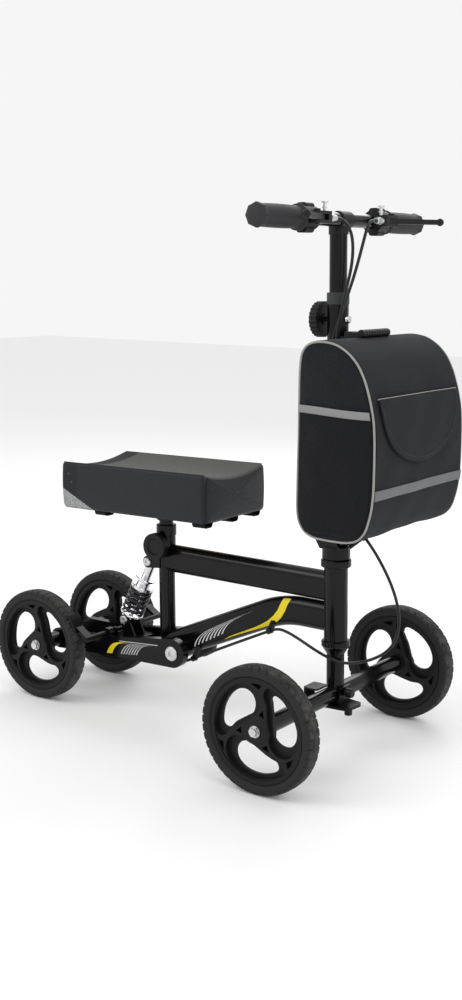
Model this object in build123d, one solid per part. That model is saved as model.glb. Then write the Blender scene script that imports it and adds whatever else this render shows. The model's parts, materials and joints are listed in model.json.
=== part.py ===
from build123d import *
import os
from math import atan2, cos, degrees, hypot, radians, sin, tan

# Four-wheeled steerable knee scooter. Millimetres, +X forward, +Y to the rider's left, +Z up.
# The sub-parts are worked out from the rear axle (x = 0) and moved at the end, so that the
# origin is the middle of the whole footprint, on the ground.

# ---- driving dimensions ----
wheel_r = 101.6            # 8 inch wheels
tyre_w = 31.3
wheelbase = 577.7
front_track = 439.8        # wheel middle to wheel middle
rear_track = 196.1
rake = 1.25                # lean of the steering column and seat tube, degrees
run_gap = 0.05             # radial clearance of a running or sliding fit
air = 0.3                  # gap between neighbours that move past each other

# wheels
rim_r = 84.0
rim_wall = 7.0
rim_w = 25.0
web_w = 22.0
skin_w = 5.0               # web left in the middle of each pocket
hub_r = 22.0
hub_w = 24.4
wheel_turn = {"front_left": 15.0, "front_right": 0.0, "rear_left": -6.0, "rear_right": 10.0}   # as parked, degrees
bearing_r = 13.0
bearing_w = 8.0
axle_r = 5.0
nut_af = 16.0

# front end
beam_r = 14.0
beam_wall = 3.0
stem_r = 14.6
stem_wall = 3.0
head_r = 19.5
head_wall = 3.0
head_low = 90.7            # along the column from the front axle
head_high = 214.0
cup_r = 25.0
cup_t = 12.5
lower_cup_r = 23.5
lower_cup_t = 10.7
cup_depth = 14.0           # how far a cup is pressed into the head tube
race_drop = 11.5

# fold joint
yoke_r = 23.0
yoke_base_t = 22.0
yoke_gap = 24.0            # between the ears
yoke_ear_t = 7.0
fold_back = 16.0           # pivot behind the column axis
fold_rise = 19.0           # pivot above the yoke base
fold_lug_r = 15.0
fold_pin_r = 5.0

# column and handlebar post
column_r = 17.0
column_wall = 2.0
column_top = 634.6
bushing_r = 17.8
bushing_h = 19.0
bushing_sleeve = 34.0
post_r = 14.0
post_wall = 2.0
post_insert = 214.0        # length of post inside the column at the lowest setting
bar_h = 764.4              # handlebar axis above the front axle, along the column
bar_forward = 7.0
bar_r = 11.0
bar_wall = 2.0
bar_half = 238.0
grip_r = 17.4
grip_inner = 128.0
grip_end_t = 4.3
stem_clamp_r = 13.4
stem_clamp_half = 17.0
post_sleeve_r = 15.6
column_knob_h = 611.7
column_knob_r = 28.3
column_knob_t = 14.0
knob_stud_r = 4.0

# brake levers
perch_in = 78.0            # inner end of the lever bracket
perch_out = 124.0
perch_r = 18.5
perch_reach = 39.0         # front of the bracket ahead of the column axis
perch_h = 18.0
lever_pivot_x = 31.0
lever_pivot_y = 112.0
lever_tip_x = 71.0
lever_tip_y = 203.0
lever_t = 8.0
lever_boss_r = 8.0
lever_pin_r = 3.0
lock_pin_y = 85.0
lock_pin_r = 2.5
lock_pin_up = 24.0

# frame tubes
tube_h = 50.0              # flat-sided oval tubes
tube_w = 30.0
tube_wall = 2.0
top_tube_z = 280.5
down_tube_head_z = 229.0
down_tube_bend_x = 475.0
down_tube_foot_z = 115.2
bend_r = 180.0
seat_tube_r = 14.3
seat_foot_x = 224.5
seat_foot_z = 100.0
seat_tube_high = 230.0     # along the seat tube from its foot
seat_collar_low = 204.0
seat_collar_mid = 221.0
seat_collar_high = 241.0
seat_sleeve_r = 16.5
seat_collar_r = 18.0

# seat
seat_post_r = 12.7
seat_post_low = 60.0
seat_knob_h = 205.0
seat_knob_r = 24.0
seat_knob_t = 12.0
seat_under = 267.5         # underside of the pad along the seat tube
seat_l = 324.0
seat_w = 176.0
seat_t = 85.0
seat_shift = -8.0          # pad middle ahead of the post axis
seat_dip = 11.0            # depth of the knee channel
board_t = 9.0
board_in = 12.0
strap_x = 108.0
strap_w = 24.0
strap_half = 46.0
strap_t = 9.0

# swing arm, pivot and shock
pivot_x = 272.0
pivot_z = 122.0
pivot_tube_r = 15.0
pivot_pin_r = 8.0
pivot_head_r = 13.0
arm_in = 36.0
arm_out = 50.0
arm_boss_r = 26.0
arm_end_r = 19.0
arm_waist_x = 105.0
arm_waist_r = 16.5
bridge_x0 = 131.0
bridge_x1 = 172.0
bridge_t = 5.0
shock_top_x = 189.0
shock_top_z = 270.0
shock_foot_x = 133.0
shock_foot_z = 152.0
shock_pin_r = 5.0
ear_in = 11.5
ear_t = 4.0
eye_r = 8.0
spring_r = 18.8
wire_r = 2.7
spring_turns = 4.5
spring_low = 16.0          # along the shock from its foot eye
spring_high = 71.0
damper_r = 9.0
damper_rod_r = 4.5

# rear brake
brake_x = 119.0
brake_z = 132.0
brake_bar_r = 5.0
brake_pad_gap = 3.0
brake_pad_t = 4.0
brake_pad_w = 27.0
brake_arm_y = -28.0

# bag
bag_half = 140.0
bag_back = 584.0
bag_low = 388.0
bag_high = 688.0
bag_front = 718.0
bag_recess_half = 42.0
bag_recess_x = 33.0        # front wall of the channel ahead of the column axis
clip_low = 520.0           # bag clip, along the column
clip_high = 580.0
flap_top_z = 606.0
flap_half = 122.0
flap_round = 92.0
flap_drop = 102.0
flap_t = 3.0

cable_r = 2.5
guide_mid = (611.0, 22.0, 366.0)       # cable ring on the fork
guide_way = (0.529, 0.298, -0.794)
guide_l = 10.0
clip_front = (462.0, -25.0, 192.0)     # cable clips under the down tube
clip_rear = (303.0, -25.0, 113.5)
joiner_x = 9.0
joiner_y = -29.7
joiner_low = 338.4
joiner_high = 368.4

# ---- derived ----
column_turn = Pos(wheelbase, 0, wheel_r) * Rot(0, -rake, 0)
seat_turn = Pos(seat_foot_x, 0, seat_foot_z) * Rot(0, -rake, 0)
origin_x = (bag_front + flap_t + air - wheel_r) / 2
yoke_low = head_high + cup_t + air
yoke_high = yoke_low + yoke_base_t
fold_h = yoke_high + fold_rise
column_low = fold_h + 24.0
shock_len = hypot(shock_top_x - shock_foot_x, shock_top_z - shock_foot_z)
shock_lean = degrees(atan2(shock_top_x - shock_foot_x, shock_top_z - shock_foot_z))
shock_turn = Pos(shock_foot_x, 0, shock_foot_z) * Rot(0, shock_lean, 0)
front_beam_half = front_track / 2 - 16.0
rear_beam_half = rear_track / 2 - 16.0
# comma-shaped wheel opening: distance from the hub, and degrees round from where it starts
window_polar = [(27, 118), (33, 158), (44, 177), (56, 188), (64.5, 186), (68.5, 172), (69.5, 150), (69.5, 128),
                (65.5, 113), (56, 103), (45, 99), (33, 103)]
pocket_polar = [(23, 122), (25, 158), (36, 179), (50, 191), (62, 198), (72.5, 196), (75, 171), (75.5, 140), (74.5, 110),
                (67, 94), (50, 82), (34, 83), (25, 99)]
nicks_polar = [[(67, 206.5), (74.5, 202), (75.5, 208), (74.5, 218)], [(38, 190.5), (27, 176), (27, 200)]]
nodes = {}


# ---- helpers ----
def cyl_x(r, x0, x1, y=0.0, z=0.0):
    return Pos((x0 + x1) / 2, y, z) * Rot(0, 90, 0) * Cylinder(r, abs(x1 - x0))


def cyl_y(r, y0, y1, x=0.0, z=0.0):
    return Pos(x, (y0 + y1) / 2, z) * Rot(90, 0, 0) * Cylinder(r, abs(y1 - y0))


def cyl_z(r, z0, z1, x=0.0, y=0.0):
    return Pos(x, y, (z0 + z1) / 2) * Cylinder(r, abs(z1 - z0))


def block(x0, x1, y0, y1, z0, z1):
    return Pos((x0 + x1) / 2, (y0 + y1) / 2, (z0 + z1) / 2) * Box(x1 - x0, y1 - y0, z1 - z0)


def plate_y(sketch, y0, y1):
    """A plate from an outline drawn in x and z, between two values of y."""
    return Pos(0, max(y0, y1), 0) * extrude(Plane.XZ * sketch, abs(y1 - y0))


def plate_x(sketch, x0, x1):
    """A plate from an outline drawn in y and z, between two values of x."""
    return Pos(min(x0, x1), 0, 0) * extrude(Plane.YZ * sketch, abs(x1 - x0))


def plate_z(sketch, z0, z1):
    return Pos(0, 0, min(z0, z1)) * extrude(Plane.XY * sketch, abs(z1 - z0))


def outline(*discs):
    """The convex outline round several discs, each given as x, z and radius."""
    return make_hull([e for x, z, r in discs for e in (Pos(x, z) * Circle(r)).edges()])


def along(point, way, solid):
    """Puts a solid that lies along z at a point, turned to lie along a direction."""
    return Plane(origin=point, z_dir=way) * solid


def bar_between(a, b, r):
    a, b = Vector(*a), Vector(*b)
    return along((a + b) * 0.5, b - a, Cylinder(r, (b - a).length))


def group(*solids):
    return Compound([s for part in solids for s in part.solids()])


# ---- wheels ----
def tyre():
    body = Cylinder(wheel_r, tyre_w)
    body = fillet(body.edges().filter_by(GeomType.CIRCLE), 8.0)
    body -= Cylinder(rim_r, tyre_w + 2)
    for z in (-6.5, 0.0, 6.5):
        body -= Pos(0, 0, z) * (Cylinder(wheel_r + 1, 1.8) - Cylinder(wheel_r - 1.6, 1.8))
    return body


def flat_points(polar):
    return [(r * cos(radians(a)), r * sin(radians(a))) for r, a in polar]


def rim():
    """Rim band and hub joined by a web: each third has a pocket with an opening, and small nicks between ribs."""
    ring = Cylinder(rim_r, rim_w) - Cylinder(rim_r - rim_wall, rim_w + 2)
    web = Cylinder(rim_r - rim_wall / 2, web_w)
    window = make_face(Curve() + [Spline(*flat_points(window_polar), periodic=True)])
    pocket = make_face(Curve() + [Spline(*flat_points(pocket_polar), periodic=True)])
    hollows = [pocket] + [make_face(Polyline(*flat_points(nick), close=True)) for nick in nicks_polar]
    for k in range(3):
        turn = Rot(0, 0, 120 * k)
        web -= turn * Pos(0, 0, -web_w) * extrude(window, 2 * web_w)
        for face in hollows:
            web -= turn * Pos(0, 0, skin_w / 2) * extrude(face, web_w)
            web -= turn * Pos(0, 0, -skin_w / 2 - web_w) * extrude(face, web_w)
    hub = Cylinder(hub_r, hub_w)
    hub = chamfer(hub.edges().filter_by(GeomType.CIRCLE), 2.0)
    body = ring + web + hub
    for s in (-1, 1):
        body -= Pos(0, 0, s * (hub_w - bearing_w) / 2) * Cylinder(bearing_r, bearing_w)
    return body - Cylinder(bearing_r - 3, hub_w)


def bearings():
    one = Cylinder(bearing_r, bearing_w) - Cylinder(axle_r + run_gap, bearing_w)
    return [Pos(0, 0, s * (hub_w - bearing_w) / 2) * one for s in (-1, 1)]


def wheel(name, x, y):
    turn = Pos(x, y, wheel_r) * Rot(90, 0, 0) * Rot(0, 0, wheel_turn[name])
    nodes["tyre_" + name] = turn * tyre()
    nodes["rim_" + name] = group(turn * rim(), *[turn * b for b in bearings()])


def axle_stub(x, side, track, beam_half, bore_r):
    """Plug pressed into the beam, shoulder against the bearing, shank and domed nut."""
    mid = track / 2
    low, high = mid - hub_w / 2 - air, mid + hub_w / 2 + air
    stub = cyl_y(bore_r, beam_half - 30, beam_half, x, wheel_r)
    stub += cyl_y(axle_r + 4, beam_half, low, x, wheel_r)
    stub += cyl_y(axle_r, low, mid + 17, x, wheel_r)
    nut = plate_y(Pos(x, wheel_r) * Circle(nut_af / 2 + 1.5), high, high + 1.5)
    nut += plate_y(Pos(x, wheel_r) * RegularPolygon(nut_af / 2, 6, major_radius=False), high + 1.5, mid + 17)
    dome = Pos(x, mid + 17, wheel_r) * Sphere(nut_af / 2 - 1)
    nut += dome & block(x - 20, x + 20, mid + 15, mid + 19.8, wheel_r - 20, wheel_r + 20)
    nut -= stub
    solids = [stub, nut]
    return solids if side > 0 else [mirror(s, Plane.XZ) for s in solids]


# ---- steering ----
def front_beam():
    beam = cyl_y(beam_r, -front_beam_half, front_beam_half, wheelbase, wheel_r)
    return beam - cyl_y(beam_r - beam_wall, -front_beam_half - 1, front_beam_half + 1, wheelbase, wheel_r)


def steerer():
    """Stem from the beam up through the head tube, ending in the fold yoke."""
    tube = cyl_z(stem_r, 0, yoke_low)
    race_high = head_low - lower_cup_t - air
    race = Pos(0, 0, race_high - race_drop / 2) * Cone(stem_r + 0.5, lower_cup_r - 1.5, race_drop)
    base = chamfer(cyl_z(yoke_r, yoke_low, yoke_high).edges().filter_by(GeomType.CIRCLE), 1.5)
    ears = []
    ear = make_hull((Pos(-fold_back, fold_h) * Circle(fold_lug_r)).edges()
                    + (Pos(-2, yoke_high - 2) * Rectangle(36, 4)).edges())
    for s in (-1, 1):
        y0, y1 = s * yoke_gap / 2, s * (yoke_gap / 2 + yoke_ear_t)
        ears.append(plate_y(ear, y0, y1))
    body = tube + race + base + ears[0] + ears[1]
    body -= cyl_z(stem_r - stem_wall, -beam_r, yoke_high - 6)
    body -= cyl_y(fold_pin_r + run_gap, -40, 40, -fold_back, fold_h)
    body = column_turn * body
    arm = bar_between((585, 8, 342), guide_mid, 3.5) + along(guide_mid, guide_way, Cylinder(5.5, guide_l))
    body += arm - along(guide_mid, guide_way, Cylinder(cable_r + run_gap, guide_l + 2))
    return body - cyl_y(beam_r, -60, 60, wheelbase, wheel_r)


def beam_bracket():
    """Lobed plate under the beam foot, with a tab over the beam and two upright webs."""
    x0, top = wheelbase + beam_r, wheel_r - beam_r - 0.2
    lobes = outline((x0 - 22, -20, 8), (x0 - 22, 20, 8), (x0 + 16, -14, 9), (x0 + 18, 12, 9))
    plate = plate_z(lobes, top - 5, top)
    web = block(x0 + 0.9, x0 + 5, -17, 17, top - 2, wheel_r + 14)
    tab = plate_z(Pos(wheelbase - 18, -33) * RectangleRounded(26, 34, 5), wheel_r + beam_r + 0.2,
                  wheel_r + beam_r + 3.2)
    leg = block(wheelbase - 31, wheelbase - 28, -48, -18, top - 3, wheel_r + beam_r + 3.2)
    foot = block(wheelbase - 31, x0 - 25, -28, -18, top - 5, top)
    return plate + web + tab + leg + foot


def bracket_fittings():
    """Black cap screw that faces forward and the rubber stop below the plate."""
    x0, top = wheelbase + beam_r + 5, wheel_r - beam_r - 0.2
    cap = cyl_x(7.5, x0 + 3, x0 + 15, 0, wheel_r + 5) + cyl_x(5, x0, x0 + 3, 0, wheel_r + 5)
    cap = fillet(cap.edges().filter_by(GeomType.CIRCLE).sort_by(Axis.X)[-1], 2.0)
    peg = fillet(cyl_z(6.5, top - 19, top - 5, x0 + 7, 0).edges().sort_by(Axis.Z)[0], 2.0)
    return group(cap, peg)


def fold_bolt():
    """Cross bolt of the fold joint, with a head on the right and a tang for the cam lever."""
    reach = yoke_gap / 2 + yoke_ear_t
    bolt = cyl_y(fold_pin_r, -reach - 0.5, reach + 1, -fold_back, fold_h)
    head = plate_y(Pos(-fold_back, fold_h) * RegularPolygon(8, 6, major_radius=False), -reach, -reach - 5)
    tang = block(-fold_back - 2.5, -fold_back + 2.5, reach + 0.5, reach + 13, fold_h - 5, fold_h + 5)
    tang -= cyl_x(2.5 + run_gap, -fold_back - 3, -fold_back + 3, reach + 9, fold_h)
    return column_turn * (bolt + head + tang)


def fold_lever():
    """Cam lever: two cheeks on a cross pin, joined by a curved handle along the column."""
    y = yoke_gap / 2 + yoke_ear_t + 9
    x0 = -fold_back
    neck = make_hull((Pos(y, fold_h) * Circle(7.5)).edges() + (Pos(y + 2, fold_h - 18) * Circle(4)).edges())
    handle = make_hull((Pos(y + 2, fold_h - 18) * Circle(4)).edges() + (Pos(y + 7, fold_h - 54) * Circle(3.2)).edges())
    body = plate_x(neck, x0 - 8, x0 + 8) + plate_x(handle, x0 - 8, x0 + 8)
    body -= block(x0 - 2.5 - air, x0 + 2.5 + air, y - 20, y + 20, fold_h - 11, fold_h + 20)
    return column_turn * (body + cyl_x(2.5, x0 - 8, x0 + 8, y, fold_h))


def headset_cups():
    solids = []
    for low, high, r, sleeve in ((head_high, head_high + cup_t, cup_r, (head_high - cup_depth, head_high)),
                                 (head_low - lower_cup_t, head_low, lower_cup_r, (head_low, head_low + cup_depth))):
        ring = chamfer(cyl_z(r, low, high).edges().filter_by(GeomType.CIRCLE), 1.5)
        cup = ring + cyl_z(head_r - head_wall, *sleeve)
        solids.append(column_turn * (cup - cyl_z(stem_r + run_gap, low - 20, high + 20)))
    return group(*solids)


# ---- main frame ----
def head_tube():
    return column_turn * (cyl_z(head_r, head_low, head_high) - cyl_z(head_r - head_wall, head_low - 1, head_high + 1))


def oval(w, h):
    return SlotOverall(h, w, rotation=90)


def top_tube():
    x0, x1 = seat_foot_x - 4, wheelbase - 4
    wall = oval(tube_w, tube_h) - oval(tube_w - 2 * tube_wall, tube_h - 2 * tube_wall)
    tube = plate_x(Pos(0, top_tube_z) * wall, x0, x1)
    tube -= column_turn * cyl_z(head_r, head_low - 30, head_high + 30)
    tube -= seat_turn * cyl_z(seat_sleeve_r, -20, 260)
    return tube.solids().sort_by(SortBy.VOLUME)[-1]


def down_tube_path():
    """Rises from the foot of the seat tube, then bends level into the head tube."""
    foot = (seat_foot_x, 0, down_tube_foot_z)
    return FilletPolyline(foot, (down_tube_bend_x, 0, down_tube_head_z), (wheelbase, 0, down_tube_head_z),
                          radius=bend_r)


def down_tube_start():
    path = down_tube_path()
    return Plane(origin=path @ 0, x_dir=(0, 1, 0), z_dir=path % 0)


def down_tube():
    path, start = down_tube_path(), down_tube_start()
    tube = sweep(start * SlotOverall(tube_h, tube_w, rotation=90), path)
    tube -= sweep(start * SlotOverall(tube_h - 2 * tube_wall, tube_w - 2 * tube_wall, rotation=90), path)
    tube -= column_turn * cyl_z(head_r, head_low - 30, head_high + 30)
    tube -= seat_turn * cyl_z(seat_tube_r, -40, 260)
    tube -= cyl_y(pivot_tube_r, -60, 60, pivot_x, pivot_z)
    return tube.solids().sort_by(SortBy.VOLUME)[-1]


def seat_tube():
    tube = cyl_z(seat_tube_r, 0, seat_tube_high) - cyl_z(seat_post_r + run_gap, 6, seat_tube_high + 1)
    return seat_turn * (tube - cyl_y(knob_stud_r + run_gap, -30, 0, 0, seat_knob_h))


def seat_clamp_collar():
    body = cyl_z(seat_sleeve_r, seat_collar_low - 8, seat_collar_mid)
    body += fillet(cyl_z(seat_collar_r, seat_collar_mid, seat_collar_high).edges().filter_by(GeomType.CIRCLE), 1.5)
    body -= cyl_z(seat_tube_r, seat_collar_low - 10, seat_tube_high)
    body -= cyl_z(seat_post_r + run_gap, seat_tube_high - 1, seat_collar_high + 1)
    return seat_turn * (body - cyl_y(knob_stud_r + run_gap, -30, 0, 0, seat_knob_h))


def frame_brackets():
    """Pivot tube through the foot of the down tube and the two ears that hold the shock."""
    pivot = cyl_y(pivot_tube_r, -arm_in + 2, arm_in - 2, pivot_x, pivot_z)
    pivot -= cyl_y(pivot_pin_r, -arm_in, arm_in, pivot_x, pivot_z)
    solids = [pivot]
    for s in (-1, 1):
        ear = plate_y(outline((shock_top_x, shock_top_z, 11), (seat_foot_x - 10, shock_top_z + 6, 14)),
                      s * ear_in, s * (ear_in + ear_t))
        ear -= seat_turn * cyl_z(seat_tube_r, 0, seat_tube_high)
        ear -= block(seat_foot_x - 8, seat_foot_x + 60, -40, 40, 200, 340)
        ear -= cyl_y(shock_pin_r, -40, 40, shock_top_x, shock_top_z)
        solids += ear.solids()
    return group(*solids)


def through_bolt(x, z, r, half, head_r, head_t):
    """Bolt along y with a domed washer head and a socket at each end."""
    bolt = cyl_y(r, -half, half, x, z)
    for s in (-1, 1):
        head = cyl_y(head_r, s * half, s * (half + head_t), x, z)
        head = chamfer(head.edges().filter_by(GeomType.CIRCLE).sort_by(Axis.Y)[0 if s < 0 else -1], head_t * 0.4)
        head -= plate_y(Pos(x, z) * RegularPolygon(head_r * 0.36, 6, major_radius=False),
                        s * (half + head_t - 2), s * (half + head_t + 1))
        bolt += head
    return bolt


def frame_bolts():
    return group(through_bolt(pivot_x, pivot_z, pivot_pin_r, arm_out + air, pivot_head_r, 3.5),
                 through_bolt(shock_top_x, shock_top_z, shock_pin_r, ear_in + ear_t, 8.0, 4.5))


# ---- swing arm ----
def swing_arms():
    solids = []
    for s in (-1, 1):
        y0, y1 = s * arm_in, s * arm_out
        arm = plate_y(outline((pivot_x, pivot_z, arm_boss_r), (arm_waist_x, 106.5, arm_waist_r)), y0, y1)
        arm += plate_y(outline((arm_waist_x, 106.5, arm_waist_r), (0, wheel_r, arm_end_r)), y0, y1)
        arm += plate_y(outline((brake_x, brake_z, brake_bar_r + 4.5), (brake_x, 112, brake_bar_r + 7)), y0, y1)
        arm -= cyl_y(pivot_pin_r + run_gap, -60, 60, pivot_x, pivot_z)
        arm -= cyl_y(beam_r, -60, 60, 0, wheel_r)
        arm -= cyl_y(brake_bar_r + run_gap, -60, 60, brake_x, brake_z)
        solids.append(arm)
    return group(*solids)


def swing_bridge():
    """Cross plate between the arms, with the ears that hold the foot of the shock."""
    top = 124.0
    plate = block(bridge_x0, bridge_x1, -arm_in, arm_in, top - bridge_t, top)
    stop = block(bridge_x1 - 24, bridge_x1 - 20, brake_arm_y - 6, brake_arm_y + 6, 96, top)
    body = plate + stop
    for s in (-1, 1):
        ear = plate_y(make_hull((Pos(shock_foot_x, shock_foot_z) * Circle(10)).edges()
                                + (Pos(145, top - 1) * Rectangle(26, 2)).edges()),
                      s * ear_in, s * (ear_in + ear_t))
        body += ear
    return body - cyl_y(shock_pin_r, -40, 40, shock_foot_x, shock_foot_z)


def rear_axle_tube():
    beam = cyl_y(beam_r, -rear_beam_half, rear_beam_half, 0, wheel_r)
    return beam - cyl_y(beam_r - beam_wall, -rear_beam_half - 1, rear_beam_half + 1, 0, wheel_r)


def brake_bar():
    """Cross bar with a curved shoe in front of each rear tyre and an arm for the cable."""
    bar = cyl_y(brake_bar_r, -rear_track / 2 - 8, rear_track / 2 + 8, brake_x, brake_z)
    r0 = wheel_r + brake_pad_gap
    shoe = Circle(r0 + brake_pad_t) - Circle(r0)
    reach = 2 * wheel_r
    wedge = Polygon((0, 0), (reach * cos(radians(22)), reach * sin(radians(22))),
                    (reach * cos(radians(40)), reach * sin(radians(40))), align=None)
    shoe = Pos(0, wheel_r) * (shoe & wedge)
    mid = r0 + brake_pad_t / 2
    tongue = make_hull((Pos(brake_x, brake_z) * Circle(4)).edges()
                       + (Pos(mid * cos(radians(27)), wheel_r + mid * sin(radians(27))) * Circle(1.8)).edges())
    for s in (-1, 1):
        y0 = s * rear_track / 2 - brake_pad_w / 2
        bar += plate_y(shoe, y0, y0 + brake_pad_w)
        bar += plate_y(tongue, y0 + 5, y0 + brake_pad_w - 5)
    arm = plate_y(outline((brake_x, brake_z, 8), (brake_x, 103, 5)), brake_arm_y - 2, brake_arm_y + 2)
    return bar + arm


# ---- shock ----
def shock_body():
    """Upper eye, damper tube and the two chrome collars that seat the spring."""
    eye = cyl_y(eye_r, -ear_in + air, ear_in - air, 0, shock_len)
    tube = cyl_z(damper_r, spring_high, shock_len - 2)
    seat = chamfer(cyl_z(spring_r + 2.8, spring_high, spring_high + 7).edges().filter_by(GeomType.CIRCLE), 1.2)
    ring = chamfer(cyl_z(spring_r + 1.5, spring_high + 19, spring_high + 24).edges().filter_by(GeomType.CIRCLE), 1.2)
    shroud = cyl_z(damper_r + 4, spring_high + 7, spring_high + 19)
    body = eye + tube + seat + ring + shroud
    body -= cyl_z(damper_rod_r + run_gap, spring_high - 1, shock_len - 16)
    return shock_turn * (body - cyl_y(shock_pin_r + run_gap, -20, 20, 0, shock_len))


def shock_rod():
    """Lower eye, spring seat and the polished rod. The eye is wide on its bolt."""
    eye = cyl_y(eye_r, -ear_in + air, ear_in - air, 0, 0)
    neck = cyl_z(damper_r, 3, spring_low)
    seat = chamfer(cyl_z(spring_r + 2.8, spring_low - 4, spring_low).edges().filter_by(GeomType.CIRCLE), 1.0)
    rod = cyl_z(damper_rod_r, spring_low, spring_high + 12)
    return shock_turn * (eye + neck + seat + rod - cyl_y(shock_pin_r + 0.8, -20, 20, 0, 0))


def shock_spring():
    low, high = spring_low + wire_r + 0.1, spring_high - wire_r - 0.1
    path = Helix((high - low) / spring_turns, high - low, spring_r)
    wire = sweep(Plane(origin=path @ 0, z_dir=path % 0) * Circle(wire_r), path, is_frenet=True)
    return shock_turn * Pos(0, 0, low) * wire


# ---- column, post and handlebar ----
def column_tube():
    """Round tube welded to the lug that turns in the fold yoke."""
    tube = cyl_z(column_r, column_low, column_top) - cyl_z(column_r - column_wall, column_low + 6, column_top + 1)
    lug = make_hull((Pos(-fold_back, fold_h) * Circle(fold_lug_r)).edges()
                    + (Pos(2, column_low + 1) * Rectangle(30, 2)).edges()
                    + (Pos(3, fold_h - 15) * Rectangle(24, 2)).edges())
    half = yoke_gap / 2 - air
    body = tube + plate_y(lug, -half, half)
    body -= cyl_y(fold_pin_r + run_gap, -40, 40, -fold_back, fold_h)
    body -= cyl_x(knob_stud_r + run_gap, -40, 0, 0, column_knob_h)
    return column_turn * (body - cyl_x(3.0, 0, 40, 0, column_knob_h))


def column_bushing():
    """Grey plastic guide: a flange on top of the column and a sleeve inside it."""
    flange = chamfer(cyl_z(bushing_r, column_top, column_top + bushing_h).edges().filter_by(GeomType.CIRCLE), 0.8)
    sleeve = cyl_z(column_r - column_wall, column_top - bushing_sleeve, column_top)
    body = flange + sleeve - cyl_z(post_r + run_gap, column_top - 60, column_top + 60)
    body -= cyl_x(knob_stud_r + run_gap, -40, 0, 0, column_knob_h)
    return column_turn * (body - cyl_x(3.0, 0, 40, 0, column_knob_h))


def column_screw():
    x = column_r - 1.2
    shank = cyl_x(3.0, post_r + 0.3, x + 2, 0, column_knob_h)
    head = fillet(cyl_x(6.5, x + 1.3, x + 6, 0, column_knob_h).edges().filter_by(GeomType.CIRCLE).sort_by(Axis.X)[-1],
                  2.0)
    return column_turn * (shank + head)


def bag_bracket():
    """Column block with a T-shaped wedge for the bag, and the block that joins the two brake cables."""
    saddle = block(2, column_r + 4, -12, 12, clip_low, clip_high + 6) - cyl_z(column_r, clip_low - 9, clip_high + 9)
    body = saddle + block(column_r + 4, column_r + 7.5, -14, 14, clip_low, clip_high + 6)
    body += block(column_r + 0.3, column_r + 12, -19, 19, clip_low - 5, clip_low - air) - cyl_z(
        column_r, clip_low - 9, clip_high + 9)
    joiner = block(joiner_x - 8, joiner_x + 8, joiner_y - 11, joiner_y + 11, joiner_low, joiner_high)
    joiner = fillet(joiner.edges().filter_by(Axis.Z), 4.0)
    joiner += block(0, joiner_x - 2, joiner_y + 9, -12, joiner_low + 5, joiner_high - 5)
    joiner -= cyl_z(column_r, joiner_low - 5, joiner_high + 5)
    return group(column_turn * body, column_turn * joiner)


def handlebar_post():
    low = column_top - post_insert
    high = bar_h - bar_r - 2
    return column_turn * (cyl_z(post_r, low, high) - cyl_z(post_r - post_wall, low - 1, high + 1))


def bar_clamp():
    """Slim tee that joins the post to the handlebar."""
    body = cyl_y(stem_clamp_r, -stem_clamp_half, stem_clamp_half, bar_forward, bar_h)
    body = chamfer(body.edges().filter_by(GeomType.CIRCLE), 1.5)
    body += cyl_z(post_sleeve_r, bar_h - 22, bar_h - 8)
    body -= cyl_z(post_r, bar_h - 40, bar_h - bar_r - 2)
    return column_turn * (body - cyl_y(bar_r, -60, 60, bar_forward, bar_h))


def handlebar():
    bar = cyl_y(bar_r, -bar_half, bar_half, bar_forward, bar_h)
    return column_turn * (bar - cyl_y(bar_r - bar_wall, -bar_half - 1, bar_half + 1, bar_forward, bar_h))


def grips():
    solids = []
    for s in (-1, 1):
        grip = cyl_y(grip_r, grip_inner, bar_half + grip_end_t, bar_forward, bar_h)
        ends = grip.edges().filter_by(GeomType.CIRCLE).sort_by(Axis.Y)
        grip = chamfer(ends[-1], 3.5, 7.0)
        grip -= cyl_y(bar_r, grip_inner - 1, bar_half, bar_forward, bar_h)
        solids.append(column_turn * (grip if s > 0 else mirror(grip, Plane.XZ)))
    return group(*solids)


def lever_perches():
    """Two-part clamps on the bar; each carries the slot and the screw its lever turns on."""
    solids = []
    for s in (-1, 1):
        ring = cyl_y(perch_r, perch_out - 32, perch_out, bar_forward, bar_h)
        ears = block(bar_forward - 9, bar_forward + 9, perch_out - 28, perch_out - 6, bar_h - 22, bar_h + 22)
        ears = fillet(ears.edges().filter_by(Axis.Y), 5)
        body = block(bar_forward + 8, perch_reach, perch_in, perch_out, bar_h - perch_h / 2, bar_h + perch_h / 2)
        body = fillet(body.edges().filter_by(Axis.Z).sort_by(Axis.X)[-2:], 7)
        perch = ring + ears + body
        slot_low = bar_h - lever_t / 2 - air
        perch -= block(lever_pivot_x - lever_boss_r - 2, 60, perch_in + 14, perch_out + 10, slot_low,
                       slot_low + lever_t + 2 * air)
        perch -= cyl_y(bar_r, 60, 160, bar_forward, bar_h)
        perch -= cyl_z(lock_pin_r + run_gap, bar_h - 30, bar_h + 30, lever_pivot_x - 4, lock_pin_y)
        screw = cyl_z(lever_pin_r, bar_h - perch_h / 2 - 2, bar_h + perch_h / 2, lever_pivot_x, lever_pivot_y)
        screw += cyl_z(5.0, bar_h + perch_h / 2, bar_h + perch_h / 2 + 3, lever_pivot_x, lever_pivot_y)
        perch = perch + screw
        solids.append(column_turn * (perch if s > 0 else mirror(perch, Plane.XZ)))
    return group(*solids)


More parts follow.
